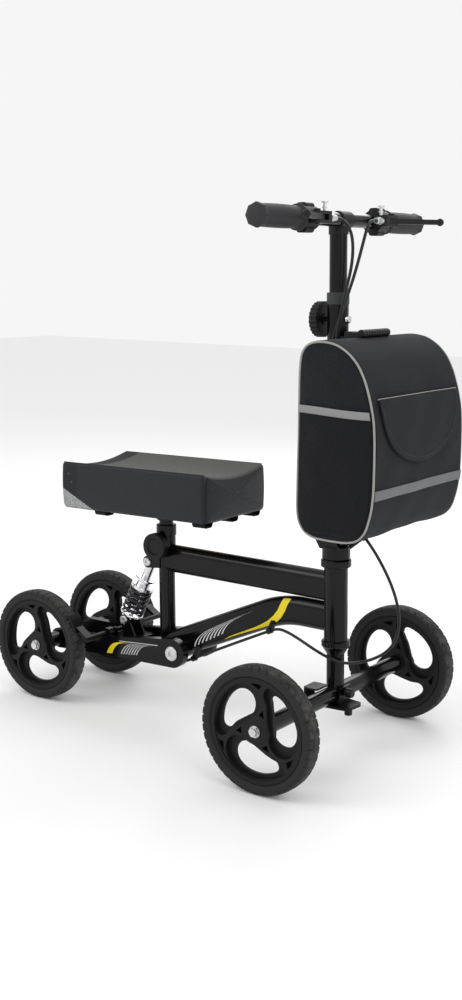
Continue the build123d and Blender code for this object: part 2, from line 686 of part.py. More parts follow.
def brake_lever(side):
    """Blade that flares forward from its pivot to a ball tip, with a short cable arm inside."""
    px, py = lever_pivot_x, lever_pivot_y
    bend = (px + 14, py + 30)
    tip = (lever_tip_x, lever_tip_y)
    blade = make_hull((Pos(px, py) * Circle(lever_boss_r)).edges() + (Pos(*bend) * Circle(5.0)).edges())
    blade += make_hull((Pos(*bend) * Circle(5.0)).edges() + (Pos(*tip) * Circle(4.0)).edges())
    blade += make_hull((Pos(px, py) * Circle(6)).edges() + (Pos(px + 1, py - 12) * Circle(4)).edges())
    body = plate_z(blade, bar_h - lever_t / 2, bar_h + lever_t / 2)
    body += Pos(tip[0], tip[1], bar_h) * Sphere(6.2)
    body -= cyl_z(lever_pin_r + run_gap, bar_h - 20, bar_h + 20, px, py)
    return column_turn * (body if side > 0 else mirror(body, Plane.XZ))


def lock_pin(side):
    """Parking lock: a sprung pin with a flanged head, pressed down beside the lever."""
    x, y = lever_pivot_x - 4, lock_pin_y
    top = bar_h + lock_pin_up
    pin = cyl_z(lock_pin_r, bar_h - 4, top, x, y)
    pin += cyl_z(5.5, top - 2, top, x, y) + cyl_z(4.0, top - 10, top - 8.5, x, y)
    return column_turn * (pin if side > 0 else mirror(pin, Plane.XZ))


def cable_adjusters():
    """Threaded barrels that hold the cable ends in the lever brackets."""
    solids = []
    for s in (-1, 1):
        x = lever_pivot_x
        body = cyl_y(6.0, perch_in - 9, perch_in, x, bar_h) + cyl_y(4.6, perch_in - 17, perch_in - 9, x, bar_h)
        solids.append(column_turn * (body if s > 0 else mirror(body, Plane.XZ)))
    return group(*solids)


def knob(r, t, hub_r, hub_t, stud, lobes):
    """Round hand knob on its stud. The stud starts at z = 0 and the knob is above it."""
    body = cyl_z(r, stud + hub_t, stud + hub_t + t)
    for k in range(lobes):
        a = radians(360 * k / lobes)
        body -= cyl_z(3.4, stud - 1, stud + hub_t + t + 1, (r + 1.8) * cos(a), (r + 1.8) * sin(a))
    body = fillet(body.edges().group_by(Axis.Z)[-1], 1.6)
    return body + cyl_z(hub_r, stud, stud + hub_t) + cyl_z(knob_stud_r, 0, stud)


def column_knob():
    stud = 4.0 + column_r - post_r + 1.0
    body = Rot(0, -90, 0) * knob(column_knob_r, column_knob_t, 9.0, 1.5, stud, 24)
    return column_turn * Pos(-post_r - 0.3, 0, column_knob_h) * body


def seat_knob():
    stud = seat_sleeve_r - seat_post_r + 4.0
    body = Rot(90, 0, 0) * knob(seat_knob_r, seat_knob_t, 10.0, 5.0, stud, 0)
    dish = Pos(0, -stud - 5.0 - seat_knob_t, 0) * Rot(90, 0, 0) * Cone(13.0, 17.0, 5.0)
    return seat_turn * Pos(0, -seat_post_r - 0.3, seat_knob_h) * (body - dish)


# ---- seat ----
def seat_post():
    high = seat_under - strap_t - 2
    post = cyl_z(seat_post_r, seat_post_low, high) - cyl_z(seat_post_r - 2, seat_post_low - 1, high - 6)
    return seat_turn * post


def seat_bracket():
    """Steel socket on the post with a rail and two cross straps that carry the board."""
    high = seat_under
    low = high - strap_t
    rail = block(-strap_x, strap_x, -20, 20, high - 4, high)
    body = rail + cyl_z(seat_post_r + 4, low - 9, high - 4)
    for s in (-1, 1):
        body += block(s * strap_x - strap_w / 2, s * strap_x + strap_w / 2, -strap_half, strap_half, low, high)
    for s in (-1, 1):
        inner = (strap_w - 6) / 2
        body -= block(s * strap_x - inner, s * strap_x + inner, -strap_half - 1, strap_half + 1, low - 1, high - 4)
    return seat_turn * (body - cyl_z(seat_post_r, 0, low + 7))


def seat_board():
    l, w = seat_l - 2 * board_in, seat_w - 2 * board_in
    board = plate_z(Pos(seat_shift, 0) * RectangleRounded(l, w, 14), seat_under, seat_under + board_t)
    return seat_turn * board


def seat_pad():
    """Closed cushion round the board, with a shallow channel for the knee along its top."""
    pad = plate_z(Pos(seat_shift, 0) * RectangleRounded(seat_l, seat_w, 10), seat_under, seat_under + seat_t)
    channel_r = (seat_w / 2) ** 2 / (2 * seat_dip) + seat_dip / 2
    pad -= cyl_x(channel_r, seat_shift - seat_l, seat_shift + seat_l, 0, seat_under + seat_t - seat_dip + channel_r)
    pad -= seat_turn.inverse() * seat_board()
    return seat_turn * pad


# ---- bag ----
def bag_outline(grow=0.0):
    """Side view of the bag: flat back, short top, long round front, tucked foot."""
    x0, x1 = bag_back - grow, bag_front + grow
    z0, z1 = bag_low - grow, bag_high + grow
    lines = [Line((x0, z0 + 44), (x0, z1 - 25)), RadiusArc((x0, z1 - 25), (x0 + 25, z1), 25),
             Line((x0 + 25, z1), (x0 + 45, z1)),
             Spline((x0 + 45, z1), (x1 - 48, z1 - 15), (x1 - 27, z1 - 40), (x1 - 9, z1 - 85), (x1, z1 - 128),
                    tangents=[(1, 0), (0, -1)]),
             Line((x1, z1 - 128), (x1, z0 + 80)),
             Spline((x1, z0 + 80), (x1 - 5.5, z0 + 45), (x1 - 39, z0), tangents=[(0, -1), (-1, 0)]),
             Line((x1 - 39, z0), (x0 + 46, z0)),
             Spline((x0 + 46, z0), (x0 + 13, z0 + 10), (x0, z0 + 44), tangents=[(-1, 0), (0, 1)])]
    return make_face(Curve() + lines)


def bag():
    body = plate_y(bag_outline(), -bag_half, bag_half)
    channel = block(-20, bag_recess_x, -bag_recess_half, bag_recess_half, 200, 700)
    return (body - column_turn * channel).solids().sort_by(SortBy.VOLUME)[-1]


def bag_flap():
    """Pocket flap with round lower corners, lying on the front and hinged along its top edge."""
    shell = plate_y(bag_outline(flap_t + air) - bag_outline(air), -flap_half, flap_half)
    low = flap_top_z - flap_drop
    window = make_hull((Pos(0, flap_top_z - 3) * Rectangle(2 * flap_half, 6)).edges()
                       + (Pos(flap_half - flap_round, low + flap_round) * Circle(flap_round)).edges()
                       + (Pos(flap_round - flap_half, low + flap_round) * Circle(flap_round)).edges())
    window &= Pos(0, low + flap_drop / 2) * Rectangle(2 * flap_half, flap_drop)
    return (shell & plate_x(window, bag_back + 60, bag_front + 20)).solids()[0]


def bag_handle():
    """Ribbed carrying handle and its plate on top of the bag, and the clip in the bag's back."""
    x, z = 630.0, bag_high + 6.0
    bar = fillet(cyl_y(6.5, -42, 42, x, z).edges().filter_by(GeomType.CIRCLE), 2.5)
    for k in range(9):
        y = -32 + 8 * k
        bar -= cyl_y(8.0, y - 1, y + 1, x, z) - cyl_y(5.2, y - 1, y + 1, x, z)
    plate = fillet(block(592, 632, -30, 2, bag_high - 3, bag_high + 8).edges().filter_by(Axis.Z), 5.0)
    top = (bar + plate) - plate_y(bag_outline(0.0), -60, 60)
    clip = block(column_r + 0.6, bag_recess_x, -20, 20, clip_low, clip_high)
    clip -= block(column_r + 4 - air, column_r + 7.5 + air, -14 - air, 14 + air, clip_low - 1, clip_high + 1)
    clip -= block(0, column_r + 6, -12 - air, 12 + air, clip_low - 1, clip_high + 1)
    clip -= cyl_z(column_r + 0.6, clip_low - 1, clip_high + 1)
    return group(top.solids().sort_by(SortBy.VOLUME)[-1], column_turn * clip)


# ---- cables ----
def cord(points, name, r=cable_r):
    """Cable along straight runs joined by arcs as large as the runs allow."""
    pts = [Vector(*p) for p in points]
    radii = []
    for a, b, c in zip(pts, pts[1:], pts[2:]):
        turn = radians((b - a).get_angle(c - b))
        radii.append(0.45 * min((b - a).length, (c - b).length) / tan(turn / 2))
    path = FilletPolyline(*pts, radius=radii) if radii else Line(*pts)
    solid = sweep(Plane(origin=path @ 0, z_dir=path % 0) * Circle(r), path)
    ideal = 3.14159265 * r * r * path.length
    print(f"{name}: length {path.length:.0f}, smallest arc {min(radii):.0f}, volume ratio {solid.volume / ideal:.4f}")
    return solid


# routes in millimetres from the rear axle: x forward, y left, z up
cable_right_route = [
    (592.0, -60.7, 866.5), (592.5, -50.0, 866.4), (594.0, -39.5, 863.0), (596.5, -31.0, 856.0), (599.0, -25.8, 846.3),
    (601.0, -24.0, 835.0), (602.5, -24.3, 820.0), (602.0, -25.5, 799.0), (598.5, -27.5, 776.0), (593.5, -29.5, 752.0),
    (588.5, -31.0, 728.0), (584.0, -32.0, 703.0), (580.8, -31.0, 676.0), (579.4, -29.7, 642.0), (580.4, -29.3, 592.0),
    (581.3, -30.1, 545.0), (582.2, -29.3, 508.0), (583.2, -29.7, 470.5)]
cable_left_route = [
    (592.0, 60.7, 866.5), (592.5, 50.0, 866.4), (594.0, 39.5, 863.5), (596.0, 30.0, 857.0), (597.5, 21.5, 847.0),
    (598.0, 12.0, 828.0), (597.0, 3.0, 805.0), (594.5, -5.0, 781.0), (590.5, -12.5, 757.0), (585.0, -19.0, 733.0),
    (579.0, -24.5, 709.0), (573.5, -28.0, 684.0), (570.8, -29.6, 656.0), (570.6, -29.9, 620.0), (571.6, -29.4, 572.0),
    (572.8, -30.0, 522.0), (574.2, -29.7, 470.5)]
cable_link_route = [
    (579.3, -29.7, 439.7), (581.5, -29.3, 426.0), (586.5, -26.0, 412.5), (591.0, -17.2, 402.3), (594.3, -8.0, 396.3),
    (596.5, 1.4, 390.9), (598.9, 10.5, 385.3), (603.07, 17.53, 377.9), (608.2, 20.42, 370.2)]
cable_loop_route = [
    (613.96, 23.67, 361.55), (622.0, 28.5, 349.0), (637.0, 32.0, 326.0), (652.5, 32.5, 301.0), (665.0, 31.5, 277.0),
    (673.5, 31.0, 251.0), (676.0, 30.5, 224.0), (670.0, 29.5, 198.0), (654.0, 27.5, 177.0), (632.0, 21.5, 163.0),
    (611.0, 7.0, 156.5), (597.5, -14.0, 159.5), (579.0, -30.0, 169.5), (553.0, -34.5, 181.0), (526.0, -31.5, 190.5),
    (500.0, -27.8, 197.5), (477.3, -24.74, 199.4), (462.0, -25.0, 192.0)]
cable_rear_route = [
    (462.0, -25.0, 192.0), (409.0, -25.9, 166.4), (356.0, -25.9, 140.2), (303.0, -25.0, 113.5), (276.0, -25.4, 100.8),
    (247.0, -26.0, 94.5), (220.0, -26.8, 93.5), (193.0, -27.6, 97.0), (170.0, -28.0, 101.5), (152.3, -28.0, 103.0)]


def cable_clips():
    """Two clips welded under the down tube, each a ring with a tongue up to the tube."""
    tube = sweep(down_tube_start() * SlotOverall(tube_h, tube_w, rotation=90), down_tube_path())
    way = Vector(*clip_rear) - Vector(*clip_front)
    solids = []
    for x, y, z in (clip_front, clip_rear):
        tongue = make_hull((Pos(y, z) * Circle(3.5)).edges() + (Pos(y + 17, z + 18) * Circle(3.5)).edges())
        clip = plate_x(tongue, x - 4, x + 4) + along((x, y, z), way, Cylinder(5.0, 9.0))
        clip = clip - tube - along((x, y, z), way, Cylinder(cable_r + air, 40))
        solids.append(clip.solids().sort_by(SortBy.VOLUME)[-1])
    return group(*solids)


def build():
    for name, x, y in (("front_right", wheelbase, -front_track / 2), ("front_left", wheelbase, front_track / 2),
                       ("rear_right", 0, -rear_track / 2), ("rear_left", 0, rear_track / 2)):
        wheel(name, x, y)
    nodes["front_axle_bolts"] = group(*[s for side in (-1, 1) for s in
                                        axle_stub(wheelbase, side, front_track, front_beam_half, beam_r - beam_wall)])
    foot_bolt = through_bolt(shock_foot_x, shock_foot_z, shock_pin_r, ear_in + ear_t, 8.0, 4.5)
    nodes["swing_bolts"] = group(foot_bolt, *[s for side in (-1, 1) for s in
                                              axle_stub(0, side, rear_track, rear_beam_half, beam_r - beam_wall)])
    for make in (front_beam, steerer, beam_bracket, bracket_fittings, fold_bolt, fold_lever, headset_cups, head_tube,
                 top_tube, down_tube, seat_tube, seat_clamp_collar, frame_brackets, frame_bolts, swing_arms,
                 swing_bridge, rear_axle_tube, brake_bar, shock_body, shock_rod, shock_spring, column_tube,
                 column_bushing, column_screw, bag_bracket, handlebar_post, bar_clamp, handlebar, grips,
                 lever_perches, cable_adjusters, column_knob, seat_knob, seat_post, seat_bracket, seat_board,
                 seat_pad, bag, bag_flap, bag_handle, cable_clips):
        nodes[make.__name__] = make()
    for name, side in (("left", 1), ("right", -1)):
        nodes["brake_lever_" + name] = brake_lever(side)
        nodes["lock_pin_" + name] = lock_pin(side)
    for name, route in (("right", cable_right_route), ("left", cable_left_route), ("link", cable_link_route),
                        ("loop", cable_loop_route), ("rear", cable_rear_route)):
        nodes["brake_cable_" + name] = cord(route, "brake_cable_" + name)


build()
os.makedirs("parts", exist_ok=True)
for name, shape in nodes.items():
    export_step(group(*[Pos(-origin_x, 0, 0) * s for s in shape.solids()]), f"parts/{name}.step")
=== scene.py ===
import json
import math

import bpy
import numpy as np
from mathutils import Matrix, Vector


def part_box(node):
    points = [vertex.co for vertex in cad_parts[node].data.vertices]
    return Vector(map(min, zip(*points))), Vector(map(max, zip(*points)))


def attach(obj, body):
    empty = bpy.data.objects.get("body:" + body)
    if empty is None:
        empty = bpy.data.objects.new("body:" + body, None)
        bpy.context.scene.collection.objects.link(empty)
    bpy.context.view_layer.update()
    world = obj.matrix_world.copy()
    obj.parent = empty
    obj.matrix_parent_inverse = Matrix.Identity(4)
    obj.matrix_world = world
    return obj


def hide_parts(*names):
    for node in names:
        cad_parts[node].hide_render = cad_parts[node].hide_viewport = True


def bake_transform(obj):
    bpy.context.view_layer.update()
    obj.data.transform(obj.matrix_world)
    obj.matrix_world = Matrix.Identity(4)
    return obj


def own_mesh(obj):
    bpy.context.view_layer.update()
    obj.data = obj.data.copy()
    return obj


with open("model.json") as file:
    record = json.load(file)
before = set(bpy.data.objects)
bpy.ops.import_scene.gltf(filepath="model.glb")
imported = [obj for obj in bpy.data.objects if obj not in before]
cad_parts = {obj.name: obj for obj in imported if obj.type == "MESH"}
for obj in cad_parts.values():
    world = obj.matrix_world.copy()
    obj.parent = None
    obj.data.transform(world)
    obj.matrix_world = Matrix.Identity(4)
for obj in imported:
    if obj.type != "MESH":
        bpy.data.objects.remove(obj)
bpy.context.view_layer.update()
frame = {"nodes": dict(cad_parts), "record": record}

bl_info = {
    "name": "Knee scooter looks",
    "version": (1, 0, 0),
    "blender": (4, 5, 0),
    "location": "View3D > Sidebar > Scooter",
    "description": "Upholstery, tyres, bag, cables and finishes of a four-wheeled knee scooter",
    "category": "Object",
}

REAR_AXLE = -0.30985          # x of the rear axle, in metres
LEAN = math.radians(1.25)     # how far the column and the seat tube lean back
WHEELS = ("front_left", "front_right", "rear_left", "rear_right")
COAT_BLACK = (0.0032, 0.0033, 0.004)
# white of the decal stripes, also used for the painted highlight along the swing arm's top edge
STRIPE_AND_HIGHLIGHT_WHITE = (0.6, 0.6, 0.6)
STRIPE_YELLOW = (0.78, 0.62, 0.02)
TYRE_CORE = 0.0925            # radius of the circle through the middle of a tyre's section, in metres
BAG_X, BAG_Z = 650.0, 535.0   # middle of the bag's side, in millimetres
BAG_HALF = 140.0
BAR_H = 764.4                 # handlebar axis along the column
SHOCK_FOOT = (133.0, 152.0)   # x and z of the shock's lower eye
SHOCK_RUN = (56.0, 118.0)     # from the lower eye to the upper one


# ---------------------------------------------------------------- shape tools
def place(x, y, z):
    """Millimetres from the rear axle become metres in the frame: all are divided by 1000 and x is moved."""
    x, y, z = np.broadcast_arrays(np.asarray(x, float), y, z)
    return np.stack((x / 1000 + REAR_AXLE, y / 1000, z / 1000), -1)


def lean(origin_x, origin_z, x, y, h):
    """x and h measured across and along a tube that leans back by LEAN from its foot."""
    c, s = math.cos(LEAN), math.sin(LEAN)
    return place(origin_x + x * c - h * s, y, origin_z + x * s + h * c)


def on_column(x, y, h):
    return lean(577.7, 101.6, x, y, h)


def on_seat_tube(x, y, h):
    return lean(224.5, 100.0, x, y, h)


def smooth_step(t):
    t = np.clip(t, 0, 1)
    return t * t * (3 - 2 * t)


def skin(name, grid, round_u=False, round_v=False, closed_ends=False, uv=None, outward=None):
    """A surface through a grid of points. round_u and round_v join its last row or column to the first,
    and closed_ends puts a point in the middle of the first and last ring. Faces turn away from the
    outward point, or from the middle of the points."""
    nu, nv = grid.shape[:2]
    points = grid.reshape(-1, 3)
    iu = np.arange(nu if round_u else nu - 1)
    iv = np.arange(nv if round_v else nv - 1)
    a, b = np.meshgrid(iu, iv, indexing="ij")
    a2, b2 = (a + 1) % nu, (b + 1) % nv
    quads = np.stack((a * nv + b, a2 * nv + b, a2 * nv + b2, a * nv + b2), -1).reshape(-1, 4)
    faces = quads.tolist()
    if closed_ends:
        first, last = len(points), len(points) + 1
        points = np.vstack((points, grid[:, 0].mean(0), grid[:, -1].mean(0)))
        i = np.arange(nu)
        j = (i + 1) % nu
        faces += np.stack((j * nv, i * nv, np.full(nu, first)), -1).tolist()
        faces += np.stack((i * nv + nv - 1, j * nv + nv - 1, np.full(nu, last)), -1).tolist()
    corner = points[quads]
    normal = np.cross(corner[:, 1] - corner[:, 0], corner[:, 3] - corner[:, 0])
    middle = corner.mean(1)
    inside = points.mean(0) if outward is None else np.asarray(outward, float)
    volume = (normal * (middle - inside)).sum()
    if volume < 0:
        faces = [f[::-1] for f in faces]
    mesh = bpy.data.meshes.new(name)
    mesh.from_pydata(points.tolist(), [], faces)
    mesh.polygons.foreach_set("use_smooth", np.ones(len(faces), bool))
    if uv is not None:
        layer = mesh.uv_layers.new(name="cloth")
        gu, gv = uv.shape[:2]
        ca, cb = np.minimum(a + 1, gu - 1), np.minimum(b + 1, gv - 1)
        flat = np.stack((uv[a, b], uv[ca, b], uv[ca, cb], uv[a, cb]), 2).reshape(-1, 4, 2)
        if volume < 0:
            flat = flat[:, ::-1]
        full = np.zeros((len(mesh.loops), 2), np.float32)
        full[: flat.shape[0] * 4] = flat.reshape(-1, 2)
        layer.data.foreach_set("uv", full.ravel())
    mesh.update()
    thing = bpy.data.objects.new(name, mesh)
    bpy.context.scene.collection.objects.link(thing)
    return thing


def round_cord(name, line, across, radius, sides=10, loop=True):
    """A round cord along a flat line: each ring is the line's point plus radius times cosine of the turn
    along the line's side direction, plus radius times sine of the turn along the across direction."""
    ahead = np.roll(line, -1, 0) - np.roll(line, 1, 0)
    if not loop:
        ahead[0], ahead[-1] = line[1] - line[0], line[-1] - line[-2]
    ahead /= np.linalg.norm(ahead, axis=1, keepdims=True)
    across = np.asarray(across, float)
    side = np.cross(ahead, across)
    side /= np.linalg.norm(side, axis=1, keepdims=True)
    up = np.cross(side, ahead)
    turn = np.linspace(0, 2 * math.pi, sides, endpoint=False)
    ring = (np.cos(turn)[:, None, None] * side + np.sin(turn)[:, None, None] * up) * radius
    return skin(name, line[None] + ring, round_u=True, round_v=loop, closed_ends=not loop)


# ---------------------------------------------------------------- finishes
class Value:
    """A number that varies over a surface. Operators on it add Math nodes."""

    def __init__(self, finish, socket):
        self.finish, self.socket = finish, socket

    def math(self, operation, other=0.0, third=0.0, swap=False):
        pair = (other, self) if swap else (self, other)
        return self.finish.node("ShaderNodeMath", {"operation": operation}, (*pair, third))

    def __add__(self, o): return self.math("ADD", o)
    def __radd__(self, o): return self.math("ADD", o, swap=True)
    def __sub__(self, o): return self.math("SUBTRACT", o)
    def __rsub__(self, o): return self.math("SUBTRACT", o, swap=True)
    def __mul__(self, o): return self.math("MULTIPLY", o)
    def __rmul__(self, o): return self.math("MULTIPLY", o, swap=True)
    def __truediv__(self, o): return self.math("DIVIDE", o)
    def __rtruediv__(self, o): return self.math("DIVIDE", o, swap=True)
    def __abs__(self): return self.math("ABSOLUTE")
    def over(self, o): return self.math("GREATER_THAN", o)
    def under(self, o): return self.math("LESS_THAN", o)
    def least(self, o): return self.math("MINIMUM", o)
    def most(self, o): return self.math("MAXIMUM", o)
    def sine(self): return self.math("SINE")
    def wrap(self, high, low=0.0): return self.math("WRAP", high, low)

    def soft(self, low, high):
        """0 below low, 1 above high, smooth between."""
        return self.finish.node("ShaderNodeMapRange", {"interpolation_type": "SMOOTHSTEP"},
                                (self, low, high, 0.0, 1.0))

    def graph(self, points):
        """The height of a line through (here, height) points."""
        x = [p[0] for p in points]
        y = [p[1] for p in points]
        lo, hi = min(y), max(y)
        span = (hi - lo) or 1.0
        stops = [((a - x[0]) / (x[-1] - x[0]), ((b - lo) / span,) * 3) for a, b in points]
        grey = self.finish.ramp((self - x[0]) / (x[-1] - x[0]), stops)
        return self.finish.node("ShaderNodeRGBToBW", {}, (grey,)) * span + lo


class Finish:
    """A material of this object, built from nodes."""

    def __init__(self, name):
        self.material = bpy.data.materials.new(name)
        self.material.use_nodes = True
        self.tree = self.material.node_tree
        self.shader = self.tree.nodes["Principled BSDF"]

    def feed(self, socket, value):
        if isinstance(value, Value):
            self.tree.links.new(value.socket, socket)
        elif hasattr(value, "__len__"):
            opaque = len(value) == 3 and len(socket.default_value) == 4
            socket.default_value = (*value, 1.0) if opaque else value
        else:
            socket.default_value = value

    def node(self, kind, settings, inputs=(), output=0):
        made = self.tree.nodes.new(kind)
        for key, value in settings.items():
            setattr(made, key, value)
        named = inputs.items() if isinstance(inputs, dict) else zip(range(len(made.inputs)), inputs)
        for key, value in named:
            self.feed(made.inputs[key], value)
        return Value(self, made.outputs[output])

    def set(self, **sockets):
        for key, value in sockets.items():
            self.feed(self.shader.inputs[key.replace("_", " ").title().replace("Ior", "IOR")], value)
        return self

    def spot(self):
        return self.node("ShaderNodeTexCoord", {}, (), "Object")

    def cloth_uv(self):
        return self.node("ShaderNodeUVMap", {"uv_map": "cloth"})

    def parts(self, vector):
        made = self.tree.nodes.new("ShaderNodeSeparateXYZ")
        self.feed(made.inputs[0], vector)
        return [Value(self, s) for s in made.outputs]

    def scaled(self, vector, x, y, z, turn=(0, 0, 0)):
        return self.node("ShaderNodeMapping", {}, {"Vector": vector, "Scale": (x, y, z), "Rotation": turn})

    def noise(self, scale, detail=2.0, vector=None, roughness=0.5):
        vector = self.spot() if vector is None else vector
        return self.node("ShaderNodeTexNoise", {}, {"Vector": vector, "Scale": scale, "Detail": detail,
                                                    "Roughness": roughness})

    def ramp(self, value, stops):
        made = self.tree.nodes.new("ShaderNodeValToRGB")
        band = made.color_ramp
        while len(band.elements) < len(stops):
            band.elements.new(0.5)
        for element, (where, colour) in zip(band.elements, stops):
            element.position, element.color = where, (*colour, 1.0)
        self.feed(made.inputs[0], value)
        return Value(self, made.outputs[0])

    def mix(self, mask, a, b):
        return self.node("ShaderNodeMix", {"data_type": "RGBA"}, {0: mask, 6: a, 7: b}, 2)

    def bump(self, height, distance, strength=1.0):
        normal = self.node("ShaderNodeBump", {},
                           {"Height": height, "Distance": distance, "Strength": strength})
        self.feed(self.shader.inputs["Normal"], normal)
        return self


def shade(colour, factor):
    return tuple(min(1.0, c * factor) for c in colour)


def powder_coat(name="Powder coat"):
    """Gloss black powder coat: fine orange peel, faint dust that dulls it in patches."""
    f = Finish(name)
    dust = f.noise(9.0, 5.0).soft(0.5, 0.78)
    grain = f.noise(900.0, 1.0)
    f.set(base_color=f.mix(dust * 0.35, COAT_BLACK, shade(COAT_BLACK, 2.6)),
          roughness=0.15 + dust * 0.1 + grain * 0.04, specular_ior_level=0.16, coat_weight=0.1)
    f.shader.inputs["Coat Roughness"].default_value = 0.08
    return f, grain


def painted():
    f, grain = powder_coat()
    return f.bump(grain, 0.00006, 0.5).material


def side_spot(f):
    """Millimetres from the rear axle, from the middle and from the ground at this point."""
    x, y, z = f.parts(f.spot())
    return (x - REAR_AXLE) * 1000, abs(y) * 1000, z * 1000


def swept_lines(along, up, reach, rise, first, last, pitch, share):
    """Lines that climb from a lower edge and bend over to run along the upper one. Each starts at its own
    distance along; rise is how quickly it bends, reach the height it settles at. It is 1 on the lines."""
    left = (1 - up / reach).most(0.004)
    start = along + left.math("LOGARITHM", math.e) * rise
    inside = start.over(first) * start.under(last) * up.over(0.0) * up.under(reach)
    return ((start - first) / pitch).wrap(1.0).under(share) * inside


def down_tube_paint():
    """Powder coat with a yellow swoosh and a fan of fine white pinstripes on both sides of the tube."""
    f, grain = powder_coat("Down tube paint")
    x, y, z = side_spot(f)
    flat = y.soft(8.0, 10.0)
    middle = z.graph([(156, 360), (163, 372), (172, 391), (181, 411), (190, 431), (198, 447), (206, 460),
                      (216, 470), (228, 478), (240, 483), (250, 487)])
    half = z.graph([(156, 0.6), (163, 2), (172, 3), (181, 4.2), (190, 6), (198, 8), (206, 9), (216, 8.5),
                    (228, 7.5), (240, 7.3), (250, 7.8)])
    swoosh = ((1 - (abs(x - middle) / half).soft(0.92, 1.0)) * z.soft(155, 157) * (1 - z.soft(249, 250))
              * flat)
    along = (x - 294.5) * 0.872 + (z - 130.6) * 0.49
    up = (z - 130.6) * 0.872 - (x - 294.5) * 0.49
    fan = swept_lines(along, up, 19.5 - along * 0.034, 18.0, 0.0, 78.0, 9.8, 0.36) * along.under(176) * flat
    f.set(base_color=f.mix(swoosh, f.mix(fan, COAT_BLACK, STRIPE_AND_HIGHLIGHT_WHITE), STRIPE_YELLOW))
    return f.bump(grain, 0.00006, 0.5).material


def swing_arm_paint():
    """Powder coat with a yellow flash, white speed lines and a painted highlight: a fine white line along the
    arm's top edge.
    """
    f, grain = powder_coat("Swing arm paint")
    x, y, z = side_spot(f)
    flat = y.soft(48.5, 49.5)
    along, up = x - 120.0, z - 94.5 - (x - 120.0) * 0.13
    reach = 23.5 - along * 0.04
    flash = swept_lines(along, up, reach, 9.0, 0.0, 13.0, 20.0, 0.9) * x.under(186)
    lines = swept_lines(along, up, reach, 9.0, 34.0, 76.0, 6.0, 0.3) * x.under(242)
    # painted highlight: the fine white line along the arm's top edge stands in for light caught by the edge;
    # it is mixed with the white speed lines
    edge = (1 - abs(up - 25.5 + along * 0.04).soft(0.35, 0.7)) * x.over(150) * x.under(240)
    white = f.mix(lines.most(edge) * flat, COAT_BLACK, STRIPE_AND_HIGHLIGHT_WHITE)
    f.set(base_color=f.mix(flash * flat, white, STRIPE_YELLOW))
    return f.bump(grain, 0.00006, 0.5).material


def bare_metal(name, colour, roughness, stretch=(30.0, 900.0, 900.0)):
    """Satin metal with fine drawn lines and slightly darker handling marks."""
    f = Finish(name)
    lines = f.noise(1.0, 2.0, f.scaled(f.spot(), *stretch))
    marks = f.noise(45.0, 3.0).soft(0.45, 0.75)
    f.set(base_color=f.mix(marks, colour, shade(colour, 0.8)), metallic=1.0,
          roughness=roughness + lines * 0.1 + marks * 0.08)
    return f.bump(lines, 0.00002, 0.4).material


def moulded(name, colour, roughness=0.45, grain_scale=1400.0, depth=0.00006):
    """Moulded plastic or rubber: fine spark-eroded grain and slightly uneven sheen."""
    f = Finish(name)
    grain = f.noise(grain_scale, 1.0)
    patch = f.noise(30.0, 3.0)
    f.set(base_color=f.mix(patch, shade(colour, 0.85), shade(colour, 1.2)),
          roughness=roughness + patch * 0.12, specular_ior_level=0.22)
    return f.bump(grain, depth, 0.6).material


def tyre_rubber(colour):
    """Grey-black rubber: dusty on the tread, cleaner and a little shinier on the sidewall."""
    f = Finish("Tyre rubber")
    v = f.parts(f.cloth_uv())[1]
    tread = (1 - abs(v - 0.25) * 6.0).soft(0.0, 0.5)
    dust = f.noise(55.0, 4.0).soft(0.35, 0.7) * tread
    scuff = f.noise(260.0, 3.0).soft(0.55, 0.75) * tread
    grain = f.noise(1200.0, 2.0)
    base = f.mix(dust * 0.75, colour, (0.075, 0.072, 0.067))
    f.set(base_color=f.mix(scuff * 0.4, base, (0.15, 0.145, 0.14)), roughness=0.62 + dust * 0.2,
          specular_ior_level=0.25)
    return f.bump(grain, 0.00012, 0.7).material


def rim_nylon(colour):
    """Moulded nylon with flow marks, satin."""
    f = Finish("Rim nylon")
    flow = f.noise(14.0, 4.0, roughness=0.65)
    grain = f.noise(1500.0, 1.0)
    f.set(base_color=f.mix(flow, shade(colour, 0.82), shade(colour, 1.18)), roughness=0.42 + flow * 0.16,
          specular_ior_level=0.2)
    return f.bump(grain, 0.00005, 0.5).material


def woven(name, colour, pitch, depth=0.00025, heather=0.35, roughness=0.82):
    """Plain-woven polyester: threads over and under each other, and lighter flecks."""
    f = Finish(name)
    u, v = f.parts(f.cloth_uv())[:2]
    a, b = (u * (math.pi / pitch)).sine(), (v * (math.pi / pitch)).sine()
    weave = abs(a) * abs(b)
    fleck = f.noise(420.0, 2.0).soft(0.42, 0.68)
    cloud = f.noise(7.0, 3.0)
    base = f.mix(fleck * heather, f.mix(cloud, shade(colour, 0.8), shade(colour, 1.2)), shade(colour, 2.3))
    f.set(base_color=base, roughness=roughness + weave * 0.1, specular_ior_level=0.12)
    f.shader.inputs["Sheen Weight"].default_value = 0.06
    f.shader.inputs["Sheen Roughness"].default_value = 0.5
    return f.bump(weave + fleck * 0.4, depth, 0.8).material


def reflective_tape(name="Reflective tape", colour=(0.2, 0.2, 0.2)):
    """Grey glass-bead tape with a fine ribbed backing."""
    f = Finish(name)
    u = f.parts(f.cloth_uv())[0]
    rib = (u * (math.pi / 0.0011)).sine()
    beads = f.noise(1500.0, 2.0)
    f.set(base_color=f.mix(beads, shade(colour, 0.8), shade(colour, 1.25)),
          roughness=0.5 + beads * 0.2)
    return f.bump(rib * 0.4 + beads, 0.0001, 0.6).material


